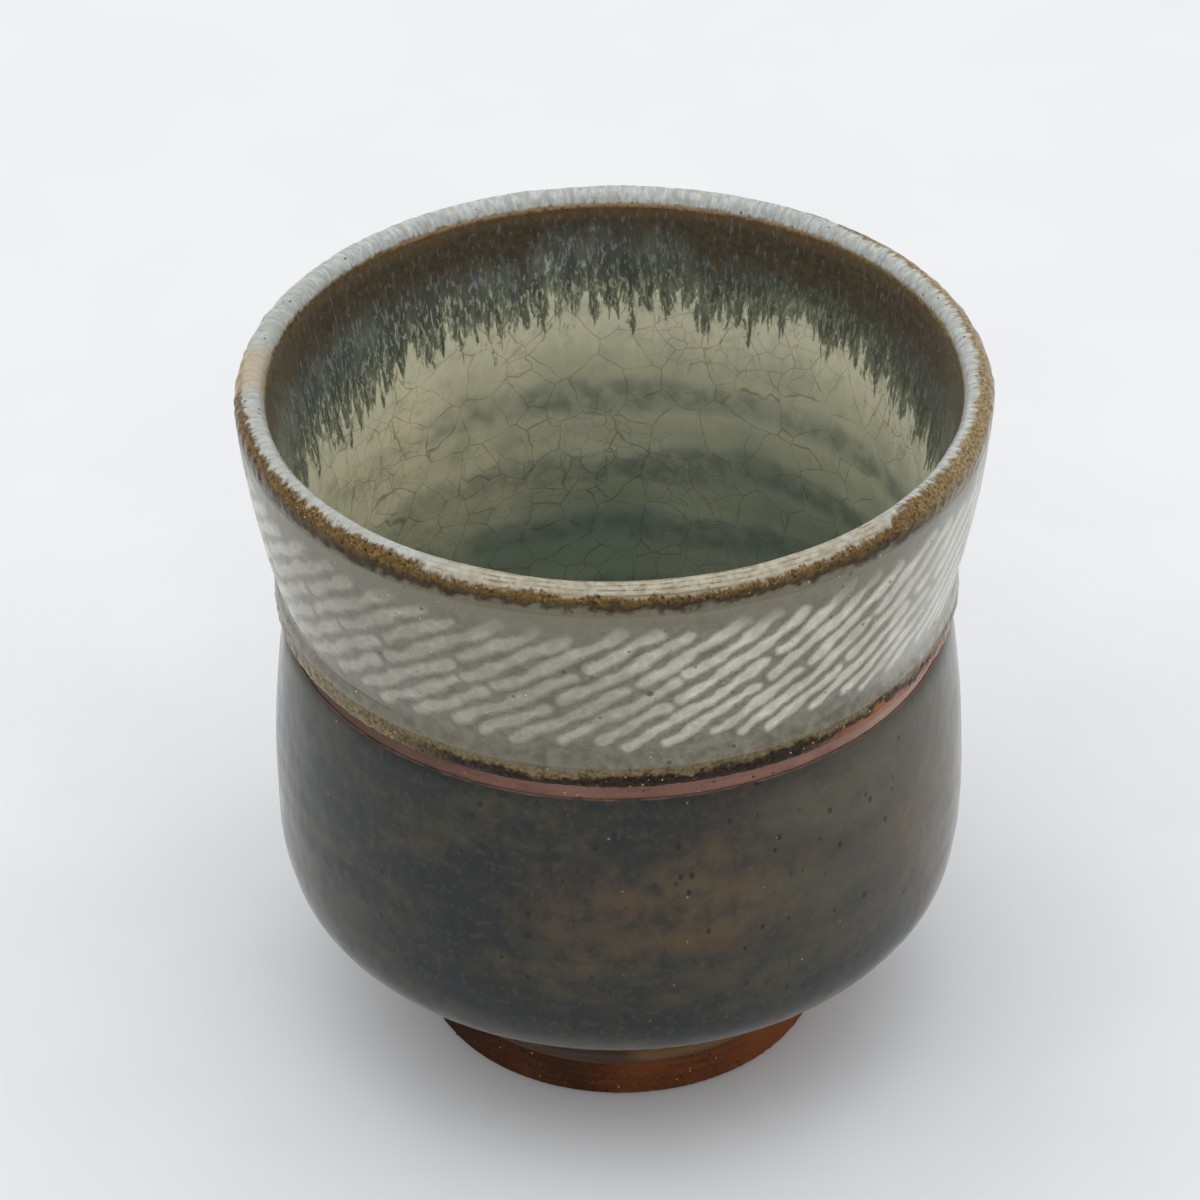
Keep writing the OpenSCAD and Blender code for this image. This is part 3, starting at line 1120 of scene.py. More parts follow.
@dataclass
class Piece:
    """What every sub-assembly shares: the section, the wobble, and how a coat is laid and handed over.

    Attributes:
        skin: The section with its coats.
        wobble: The shared unevenness.
        relief: Small heights of the coats.
        slip: The rows of strokes.
        runs: The ragged edge of the rim glaze.
        columns: Number of columns round the cup.
    """

    skin: Skin
    wobble: HandWobble
    relief: Relief
    slip: SlipPattern
    runs: RunPattern
    columns: int = 800

    @property
    def angle(self) -> Array:
        """Angles of the columns."""
        return np.arange(self.columns) * TURN / self.columns

    @property
    def edge(self) -> Array:
        """Depth of the runs' edge below the crest, by column."""
        return self.runs.edge(self.angle)

    def spread(self, s: Array, coated: bool = True) -> Face:
        """Lays places of the section round the cup.

        Args:
            s: Arc lengths, one per row, or one per row and column.
            coated: True for the coat's face, False for the clay's.

        Returns:
            The places.
        """
        grid = s if s.ndim == 2 else np.repeat(s[:, None], self.columns, 1)
        place = self.skin.place(grid, coated)
        r, z = place[..., 0], place[..., 1]
        return Face(around(r, self.angle, z), r, z, self.skin.normal(grid), grid - self.skin.mark["crest"])

    def coat_height(self, face: Face) -> Array:
        """Height of the glaze over its even face, in mm, at places of the outside, lip and inside.

        The sum of the fired surface, lumps on the iron glaze of the lip, a fine ridge round the lip's
        flat, and a faint swelling where the runs are thick.

        Args:
            face: Places of the coat.

        Returns:
            The heights.
        """
        way, relief = face.way, self.relief
        height = relief.coat(face.points) + bell(way + 1.9, 1.1) * 0.06 * relief.lumps.at(face.points)
        ridge = 0.07 * bell(way + 0.55 + 0.12 * relief.unevenness.at(face.points), 0.16)
        run = smooth(-0.3, 1.5, self.edge - way) * smooth(4, 9, way)
        return height + ridge + 0.05 * run * (way > 0)

    def lay_coat(self, name: str, outer: Face, inner: Array, height: Array,
                 node: Node, finish: Finish) -> None:
        """Makes a coat: its outer rows carry the relief, its inner rows lie on the clay.

        Args:
            name: Name of the piece.
            outer: Places of the outer rows.
            inner: Arc lengths of the inner rows, in the other direction.
            height: Relief of the outer rows in mm.
            node: The solid that it stands for.
            finish: Its finish.
        """
        back = self.spread(inner, coated=False)
        r, z = outer.lifted(height)
        r, z, way = (np.concatenate(pair) for pair in ((r, back.r), (z, back.z), (outer.way, back.way)))
        marks = {"slip": self.slip.distance(self.angle[None, :], z), "run": self.edge - way}
        hand_over(Shell(name, self.angle, r, z, way, marks=marks).mesh(self.wobble), node, finish)


def rows(first: float, last: float, count: int, edge: float = 0.05) -> Array:
    """Evenly spaced places between two arc lengths, with one more close to each end."""
    inner = np.linspace(first, last, count)
    return np.concatenate([[first, first + edge], inner[1:-1], [last - edge, last]])


@dataclass
class ClayBody(Piece):
    """The thrown clay: bare in a band under the ledge and in the ceiling of the foot's recess.

    Attributes:
        bare_grain: Height of the bare band's grain, in mm.
        bare_line: Height of its wheel marks.
        turn_line: Height of the turning lines in the recess.
        turn_pitch: Distance between them.
    """

    columns: int = 400
    bare_grain: float = 0.02
    bare_line: float = 0.03
    turn_line: float = 0.05
    turn_pitch: float = 1.3

    def build(self, finish: Finish) -> None:
        """Carries the whole section round as one solid with two poles: ceiling, outside, lip, inside.

        Args:
            finish: The bare clay.
        """
        form, mark, relief = self.skin.form, self.skin.mark, self.relief
        stops = np.concatenate([
            np.linspace(mark["neck"], mark["bare"] - 0.6, 60),
            rows(mark["bare"] - 0.4, mark["corner"] + 0.2, 26),
            np.linspace(mark["corner"] + 0.4, mark["floor"], 100),
            np.linspace(mark["floor"], mark["end"], 8)[1:-1],
        ])
        wall = self.spread(stops, coated=False)
        bare = smooth(mark["bare"] - 0.2, mark["bare"] + 0.2, stops)
        bare = bare - smooth(mark["corner"], mark["corner"] + 0.3, stops)
        marks = self.bare_grain * relief.grain.at(wall.points) + self.bare_line * relief.rings.at(wall.points)
        r, z = wall.lifted(bare[:, None] * marks)
        share = np.linspace(0.04, 1, 16)[:, None] * np.ones((1, self.columns))
        ring_r = form.recess_r * share
        ring_z = form.foot_h + form.recess_dome * (1 - share**2)
        turned = np.sin(TURN * ring_r / self.turn_pitch + self.angle) * smooth(0, 3, form.recess_r - ring_r)
        grain = relief.grain.at(around(ring_r, self.angle, ring_z))
        ring_z = ring_z + self.turn_line * turned + self.bare_line * grain
        way = np.concatenate([np.zeros_like(ring_r) - mark["crest"], wall.way])
        r, z = np.concatenate([ring_r, r]), np.concatenate([ring_z, z])
        shell = Shell("clay_wall", self.angle, r, z, way, closed=False)
        hand_over(shell.mesh(self.wobble), Node.CLAY, finish)


@dataclass
class FootRing(Piece):
    """The turned foot of bare red-brown clay.

    Attributes:
        line: Height of the turning lines, in mm.
        line_pitch: Distance between them.
        grain: Height of the clay's grain.
        face_grain: Height of the grain of the resting face.
    """

    columns: int = 560
    line: float = 0.05
    line_pitch: float = 1.15
    grain: float = 0.035
    face_grain: float = 0.02

    def build(self, finish: Finish) -> None:
        """Carries a closed section round: resting face, bevel, tapered side, hidden top, recess side.

        Args:
            finish: The foot's clay.
        """
        form, relief = self.skin.form, self.relief
        bevel, top = form.foot_bevel, form.foot_h
        rise = np.linspace(0, 1, 34)
        turn = np.linspace(0, math.pi / 2, 7)[1:-1]
        side_r = mix(form.foot_r, form.neck_r, bevel / top)
        side = np.stack([mix(side_r, form.neck_r, rise), mix(bevel, top, rise)], 1)
        outer = np.stack([side_r - bevel + bevel * np.sin(turn), bevel * (1 - np.cos(turn))], 1)
        hidden = np.array([[mix(form.neck_r, form.recess_r, share), top] for share in (0.35, 0.7)])
        wall = np.stack([np.full(14, form.recess_r), np.linspace(top, bevel, 14)], 1)
        inner = np.stack([form.recess_r + bevel * (1 - np.cos(turn)), bevel * (1 - np.sin(turn))], 1)
        face = np.stack([np.linspace(form.recess_r + bevel, side_r - bevel, 22), np.zeros(22)], 1)
        loop = np.concatenate([face, outer, side, hidden, wall, inner])
        r, z = (np.repeat(loop[:, k, None], self.columns, 1) for k in (0, 1))
        way = np.gradient(loop, axis=0)
        way /= np.linalg.norm(way, axis=1)[:, None]
        points, height = around(r, self.angle, z), loop[:, 1, None]
        shown = smooth(0, 0.5, height) * smooth(0, 0.2, top - height)
        grain = relief.grain.at(points)
        lines = np.sin(TURN * (height / self.line_pitch + self.angle[None, :] / TURN))
        lift = shown * (self.line * lines + self.grain * grain + self.line * relief.rings.at(points))
        low = np.maximum(self.face_grain * grain, 0) * (1 - smooth(0, 0.5, height))
        r, z = r + way[:, 1, None] * lift, z - way[:, 0, None] * lift + low
        shell = Shell("foot_ring_turned", self.angle, r, z, z - self.skin.mark["crest"])
        hand_over(shell.mesh(self.wobble), Node.FOOT, finish)


@dataclass
class OuterCoats(Piece):
    """The coats of the outside: the dark body coat, the iron band on the ledge and the grey collar coat.

    Attributes:
        edge_fade: Length over which the body coat's relief dies away at its edges, in mm.
        lump: Height of the iron band's lumps.
        grain: Height of its grain.
        trough: Depth of the grey coat's trough along each stroke.
    """

    edge_fade: float = 0.6
    lump: float = 0.03
    grain: float = 0.025
    trough: float = 0.05

    def body(self, finish: Finish) -> None:
        """The dark coat, from the foot up to the bare band, with its slightly uneven thick edge.

        Args:
            finish: The dark glaze.
        """
        mark = self.skin.mark
        face = self.spread(rows(mark["dark_end"], mark["bare"], 104))
        inner = np.linspace(mark["bare"], mark["dark_end"], 14)
        from_edge = np.minimum(face.way - face.way.min(), face.way.max() - face.way)
        height = self.coat_height(face) * smooth(0, self.edge_fade, from_edge)
        self.lay_coat("dark_body_coat", face, inner, height, Node.BODY, finish)

    def iron(self, finish: Finish) -> None:
        """The iron band over the ledge's edge, lumpy with pooled glaze.

        Args:
            finish: The iron glaze.
        """
        mark = self.skin.mark
        face = self.spread(rows(mark["corner"], mark["iron_top"], 30))
        inner = np.linspace(mark["iron_top"], mark["corner"], 8)
        lumps = self.lump * self.relief.lumps.at(face.points) + self.grain * self.relief.grain.at(face.points)
        height = self.coat_height(face) + lumps * smooth(0, 0.5, face.way.max() - face.way)
        self.lay_coat("ledge_iron_coat", face, inner, height, Node.IRON, finish)

    def collar(self, finish: Finish) -> None:
        """The grey coat, from the ledge up to the lip, with a shallow trough along each stroke.

        Args:
            finish: The grey glaze.
        """
        mark = self.skin.mark
        face = self.spread(np.linspace(mark["iron_top"], mark["rim_out"], 112))
        inner = np.linspace(mark["rim_out"], mark["iron_top"], 8)
        near = smooth(0.1, -0.25, self.slip.distance(self.angle[None, :], face.z))
        height = self.coat_height(face) - self.trough * near
        self.lay_coat("grey_collar_coat", face, inner, height, Node.COLLAR, finish)


@dataclass
class SlipStrokes(Piece):
    """The strokes of pale slip let into the collar, each its own closed shell.

    Attributes:
        along: Number of rows of faces along a stroke.
        across: Number of faces across a stroke.
        crown: Height of a stroke's crown, in mm.
        sink: Depth of a stroke's edges under the coat, in mm.
        depth: Depth of a stroke's back at its edges, in mm.
        round_back: How much deeper its back is in the middle, in mm.
    """

    along: int = 30
    across: int = 6
    crown: float = 0.055
    sink: float = 0.045
    depth: float = 0.9
    round_back: float = 0.1

    def build(self, finish: Finish) -> None:
        """Makes every stroke as a crowned lens with rounded ends.

        A point of a stroke lies at u along its slant and v across it. Its half width follows the
        row's own, drawn in by a quarter circle at each end. Its face stands out by
        crown (1 - v^2) less a small sink at the edges, and its back lies in the clay.

        Args:
            finish: The slip under its grey coat.
        """
        slip, skin = self.slip, self.skin
        row = np.arange(slip.rows)
        start, middle, end = slip.ends(row)
        first = np.concatenate([start, middle + slip.half_gap(row)])[:, None]
        last = np.concatenate([middle - slip.half_gap(row), end])[:, None]
        row = np.concatenate([row, row])[:, None]
        t = (1 - np.cos(np.linspace(0, math.pi, self.along + 1))) / 2
        v = np.linspace(-1, 1, self.across + 1)
        along = mix(first, last, t[None, :])
        half = slip.half_width(row, along)
        from_end = np.minimum(along - first, last - along) / half
        half = half * np.sqrt(np.clip(1 - (1 - np.clip(from_end, 0, 1)) ** 2, 0.0004, 1))
        across = slip.sway(row, along)[..., None] + half[..., None] * v
        z = (slip.low_z + along * math.sin(slip.slant))[..., None] - across * math.cos(slip.slant)
        base = (TURN * row / slip.rows)[..., None] + (along * math.cos(slip.slant) / slip.mid_r)[..., None]
        angle = base + across * math.sin(slip.slant) / slip.mid_r
        low, high = np.searchsorted(skin.s, (skin.mark["collar"] - 0.5, skin.mark["lip_out"]))
        s = np.interp(z, skin.coated[low:high, 1], skin.s[low:high])
        r, level = np.moveaxis(skin.place(s), -1, 0)
        way = s - skin.mark["crest"]
        face = Face(around(r, angle, level), r, level, skin.normal(s), way)
        crowned = self.crown * (1 - v**2) * np.clip(half / 0.5, 0, 1)[..., None]
        front = self.relief.coat(face.points) + crowned - self.sink
        heights = (front, -self.depth - self.round_back * (1 - v**2))
        sides = [around(*self._bent(face, angle, height)).reshape(-1, 3) * MM for height in heights]
        flow = around(FLOW_R, angle, way).reshape(-1, 3)
        marks = {"slip": slip.distance(angle, z).ravel(), "run": (self.runs.edge(angle) - way).ravel()}
        marks = {name: np.concatenate([value, value]) for name, value in marks.items()}
        piece = write_mesh("slip_strokes", np.concatenate(sides), self._faces(len(row)), NO_TRIANGLES,
                           {"flow": np.concatenate([flow, flow])}, marks)
        hand_over(piece, Node.SLIP, finish)

    def _bent(self, face: Face, angle: Array, height: Array) -> tuple[Array, ...]:
        """Radius, angle and height of places lifted from the coat's face, after the shared wobble."""
        r, z = self.wobble.bend(angle, *face.lifted(height))
        return r, angle, z

    def _faces(self, count: int) -> Array:
        """Quads of every stroke: its face, its back turned over, and the four rims between them.

        Args:
            count: Number of strokes.

        Returns:
            Four vertex numbers per face.
        """
        lines, places = self.along + 1, self.across + 1
        cells = np.arange(lines * places).reshape(lines, places)
        under = cells + count * lines * places

        def panel(a: Array, b: Array) -> Array:
            """Quads between two matching lines of vertices."""
            return np.stack([a[:-1], a[1:], b[1:], b[:-1]], -1)

        face = np.stack([cells[:-1, :-1], cells[:-1, 1:], cells[1:, 1:], cells[1:, :-1]], -1).reshape(-1, 4)
        back = face[:, ::-1] + count * lines * places
        rims = [panel(under[0], cells[0]), panel(cells[-1], under[-1]),
                panel(cells[:, 0], under[:, 0]), panel(under[:, -1], cells[:, -1])]
        one = np.concatenate([face, back, *rims])
        return (one[None] + np.arange(count)[:, None, None] * lines * places).reshape(-1, 4)


@dataclass
class InnerCoats(Piece):
    """The rim glaze over the lip with its runs, and the crackled liner under it.

    Attributes:
        turn: Length below the crest, inside, at which the rim's rows begin to follow the drips.
        swell: Height of the runs over the liner, in mm.
        sink: How far their edge lies under it.
        liner_sink: How far the liner's upper edge lies under the runs.
        middle: How far the liner's last row stays from the middle of the floor.
        uneven_h: Height of the liner's broad unevenness.
        peel_h: Height of its orange peel.
    """

    turn: float = 3.0
    swell: float = 0.04
    sink: float = 0.05
    liner_sink: float = 0.06
    middle: float = 0.6
    uneven_h: float = 0.02
    peel_h: float = 0.012

    def rim(self, finish: Finish) -> None:
        """The rim glaze, from outside over the lip down to its ragged edge, thinning to nothing there.

        Args:
            finish: The iron glaze of the rim.
        """
        mark = self.skin.mark
        edge = mark["crest"] + np.minimum(self.edge, mark["drip_end"] - mark["crest"] + 3)
        upper = np.linspace(mark["rim_out"], mark["crest"] + self.turn, 52)
        share = np.linspace(0, 1, 58)[1:]
        lower = mix(mark["crest"] + self.turn, edge[None, :], share[:, None])
        outer = np.concatenate([np.repeat(upper[:, None], self.columns, 1), lower])
        inner = mix(edge[None, :], np.full((1, self.columns), mark["rim_out"]), np.linspace(0, 1, 9)[:, None])
        face = self.spread(outer)
        thin = smooth(0, 1.2, edge[None, :] - outer)
        height = self.coat_height(face)
        upper = height + self.swell * smooth(0, self.turn, face.way)
        height = np.where(face.way < self.turn, upper, height + self.swell * thin - self.sink * (1 - thin))
        self.lay_coat("rim_iron_coat", face, inner, height, Node.RIM, finish)

    def liner(self, finish: Finish) -> None:
        """The liner, from just under the lip down the inside to the middle of the floor.

        Args:
            finish: The crackled glaze.
        """
        mark, relief = self.skin.mark, self.relief
        last = mark["end"] - self.middle
        face = self.spread(np.linspace(mark["rim_in"], last, 112))
        back = self.spread(np.linspace(last, mark["rim_in"], 12), coated=False)
        r, z = face.lifted(self.uneven_h * relief.unevenness.at(face.points)
                           + self.peel_h * relief.peel.at(face.points)
                           - self.liner_sink * smooth(1.0, 0, face.way - face.way.min()))
        r, z, way = (np.concatenate(pair) for pair in ((back.r, r), (back.z, z), (back.way, face.way)))
        marks = {"run": self.edge - way}
        shell = Shell("crackle_liner_coat", self.angle, r, z, way, closed=False, marks=marks)
        hand_over(shell.mesh(self.wobble), Node.LINER, finish)


# The glaze layers that several finishes share, as node groups


@dataclass(frozen=True)
class LipLayer:
    """The iron glaze of the lip: brown with golden grains outside, blue-white streaks over the crest.

    The pale top reaches over the whole crest at the back, and only over its inner half at the left,
    right and front. In front its flat carries a painted beige highlight with fine brown level lines.
    """

    grain_dark: Tone = Tone(54, 41, 20, 0.7)
    grain_gold: Tone = Tone(112, 88, 48, 0.7)
    mottle: Tone = Tone(76, 56, 26, 0.7)
    iron_speck: Tone = Tone(26, 19, 10, 0.7)
    gold_speck: Tone = Tone(196, 172, 128, 0.8)
    core: Tone = Tone(34, 26, 12, 0.7)
    right_dark: Tone = Tone(120, 100, 70, 0.8)
    right_light: Tone = Tone(178, 158, 120, 0.8)
    streak_dark: Tone = Tone(146, 149, 148, 0.87)
    streak_light: Tone = Tone(186, 190, 187, 0.87)
    streak_warm: Tone = Tone(160, 156, 136, 0.87)
    left_warm: Tone = Tone(148, 146, 134, 0.87)
    streak_fleck: Tone = Tone(124, 122, 112, 0.88)
    # painted highlight: the two tones of the beige on the lip's front flat
    highlight_pale: Tone = Tone(176, 170, 152, 0.9)
    highlight_dim: Tone = Tone(146, 136, 112, 0.9)
    groove_brown: Tone = Tone(104, 86, 58, 0.86)
    pale_speck: Tone = Tone(92, 84, 66, 0.86)
    tan: Tone = Tone(168, 148, 116, 0.86)
    # painted glint along the lip's inner edge
    inner_glint: Tone = Tone(176, 142, 100, 0.86)
    groove_pitch: float = 0.46

    def group(self) -> bpy.types.NodeTree:
        """Lays the grains, the pale top and its flat, then masks the glaze's two ragged edges.

        Returns:
            The group, with outputs Color, Mask and Height.
        """
        sheet = Sheet(bpy.data.node_groups.new("lip_glaze", "ShaderNodeTree"))
        place, flow = sheet.object_mm(), sheet.flow()
        way = flow.split()[2]
        slow, mid, fine = place.noise(0.09), place.noise(0.8, 4), place.noise(2.6, 4, 0.65)
        streak = flow.stretch(1.7, 1.7, 0.95).noise(1.0, 5, 0.68)
        front = (flow.toward(276) + slow.drift(0.08)).ease(0.74, 0.94)

        gold = fine.ease(0.36, 0.64).between(self.grain_dark, self.grain_gold)
        gold = gold.under(self.mottle, mid.ease(0.4, 0.62, 0, 0.75))
        gold = gold.under(self.iron_speck, place.specks(1.5, 0.46, 0.45))
        gold = gold.under(self.gold_speck, place.stretch(1.0, 1.0, 1.3).specks(2.1, 0.3, 0.13))
        gold = gold.under(self.core, (way + mid.drift(0.35)).ease(-1.55, -2.35, 0, 0.88))
        right = fine.ease(0.4, 0.6).between(self.right_dark, self.right_light)
        gold = gold.under(right, flow.toward(5).ease(0.6, 0.95, 0, 0.5))

        level = (way * (TURN / self.groove_pitch) + slow.drift(1.5)).math("SINE")
        groove = (level + streak.drift(0.9)).ease(0.2, 1.1) * place.noise(0.35).ease(0.36, 0.6, 0.15, 0.75)
        # Painted highlight: the front flat's beige stands for reflected soft light; the brown level lines in it
        # are the glaze's own.
        flat = mid.ease(0.35, 0.7).between(self.highlight_pale, self.highlight_dim).under(self.groove_brown, groove)
        pale = streak.ease(0.32, 0.66).between(self.streak_dark, self.streak_light)
        pale = pale.under(self.streak_warm, mid.ease(0.46, 0.7, 0, 0.6))
        pale = pale.under(self.left_warm, flow.toward(195).ease(0.4, 0.9, 0, 0.3))
        pale = pale.under(self.streak_fleck, fine.ease(0.56, 0.7, 0, 0.4))
        pale = pale.under(flat, front * way.ease(1.1, 0.5))
        pale = pale.under(self.pale_speck, place.specks(1.2, 0.3, 0.16))

        back = (flow.toward(118) + slow.drift(0.12)).ease(0.25, 0.85)
        left = flow.toward(200).ease(0.5, 0.9) * -0.5
        brink = back.line(0, 1, -0.15, -1.3) + (left + front * -1.2)
        wander = mid.drift(0.3) + streak.drift(0.3)
        top = (way - brink + wander).ease(-0.25, 0.3) * (way - wander * 0.6).ease(1.6, 1.05)
        color = gold.under(pale, top)
        color = color.under(self.tan, (flow.toward(177) + fine.drift(0.003)).ease(0.992, 0.997) * 0.6)
        # Painted glint: a thin, broken bright line along the lip's inner edge.
        inner_glint = (way - 1.5).math("ABSOLUTE").ease(0.32, 0.06) * place.noise(0.05, 2).ease(0.46, 0.56)
        color = color.under(self.inner_glint, inner_glint * 0.65)

        outside = (way + (mid.drift(0.5) + slow.drift(0.4)) - front * 0.15).ease(-3.35, -2.45)
        inside = (way + streak.drift(0.4)).ease(2.0, 1.3)
        return sheet.as_group(Color=color, Mask=outside * inside, Height=fine * 0.6 - groove * 0.8)


@dataclass(frozen=True)
class GreyLayer:
    """The collar's grey coat over clay and slip, going olive and iron-brown down the ledge."""

    clay_dark: Tone = Tone(70, 66, 52, 0.62)
    clay_light: Tone = Tone(99, 96, 83, 0.62)
    clay_grain: Tone = Tone(72, 65, 50, 0.66)
    slip_dark: Tone = Tone(150, 148, 134, 0.64)
    slip_light: Tone = Tone(176, 174, 161, 0.64)
    left_shade: Tone = Tone(76, 74, 62, 0.62)
    # painted reflection on the collar's right side
    right_light: Tone = Tone(196, 196, 190, 0.66)
    upper: Tone = Tone(93, 88, 73, 0.66)
    dot: Tone = Tone(44, 42, 38, 0.66)
    small_dot: Tone = Tone(62, 54, 42, 0.66)
    white_dot: Tone = Tone(200, 200, 196, 0.7)
    olive_dark: Tone = Tone(62, 52, 32, 0.6)
    olive_light: Tone = Tone(104, 90, 60, 0.6)
    iron_dark: Tone = Tone(12, 9, 7, 0.8)
    iron_light: Tone = Tone(50, 34, 16, 0.8)
    iron_speck: Tone = Tone(24, 16, 8, 0.6)
    gold_speck: Tone = Tone(192, 150, 84, 0.7)
    rust: Tone = Tone(118, 72, 46, 0.66)
    scored_line: Tone = Tone(52, 44, 34, 0.66)
    scored_z: float = 61.1

    def group(self) -> bpy.types.NodeTree:
        """Veils the slip in grey, lays dots on it, then olive, iron and a scored line low down.

        Returns:
            The group, with outputs Color and Height.
        """
        sheet = Sheet(bpy.data.node_groups.new("grey_over_slip", "ShaderNodeTree"))
        place, flow, distance = sheet.object_mm(), sheet.flow(), sheet.read("slip")
        height_z = place.split()[2]
        slow, mid, fine = place.noise(0.11, 2), place.noise(0.7, 4, 0.6), place.noise(2.2, 4, 0.7)

        veil = slow.ease(0.3, 0.6, 0.66, 0.95) * flow.toward(238).ease(0.7, 0.95, 1, 0.66)
        soft = distance + (mid.drift(0.34, 0.2) + fine.drift(0.16, 0.2))
        white = mid.ease(0.35, 0.75).between(self.slip_dark, self.slip_light)
        color = mid.ease(0.3, 0.7).between(self.clay_dark, self.clay_light)
        color = color.under(self.clay_grain, fine.ease(0.48, 0.75, 0, 0.55))
        color = color.under(white, soft.ease(0.32, -0.44) * veil)
        color = color.under(self.left_shade, flow.toward(236).ease(0.72, 0.97, 0, 0.3))
        # Painted reflection: the collar's right side is lightened.
        color = color.under(self.right_light, flow.toward(345).ease(0.82, 0.98, 0, 0.3))
        color = color.under(self.upper, (height_z + slow.drift(1.5)).ease(77.6, 81.6) * 0.8)
        dots = place.specks(0.42, 0.17, 0.6).math("MAXIMUM", place.specks(0.15, 0.1, 0.6))
        color = color.under(self.dot, dots * 0.85)
        color = color.under(self.small_dot, place.specks(1.3, 0.24, 0.22) * 0.7)
        color = color.under(self.white_dot, place.specks(0.9, 0.11, 0.25))

        ledge = height_z + (mid.drift(0.5) + slow.drift(0.6))
        thick = (flow.toward(290) + slow.drift(0.15)).ease(0.35, 0.8)
        olive = fine.ease(0.35, 0.65).between(self.olive_dark, self.olive_light)
        iron = fine.ease(0.4, 0.65).between(self.iron_dark, self.iron_light).under(olive, 1.0 - thick)
        iron = iron.under(self.iron_speck, place.specks(1.5, 0.3, 0.4))
        iron = iron.under(self.gold_speck, place.specks(2.0, 0.3, 0.3))
        color = color.under(olive, ledge.ease(60.4, 58.8)).under(iron, ledge.ease(59.0, 58.3))
        color = color.under(self.rust, flow.toward(338).ease(0.78, 0.93) * ledge.ease(58.3, 57.7))
        off_line = (height_z + slow.drift(0.25) - self.scored_z).math("ABSOLUTE")
        scored = off_line.ease(0.16, 0.04) * place.noise(0.045, 2).ease(0.5, 0.56)
        color = color.under(self.scored_line, scored * 0.8)
        return sheet.as_group(Color=color, Height=fine * 0.5 - scored)


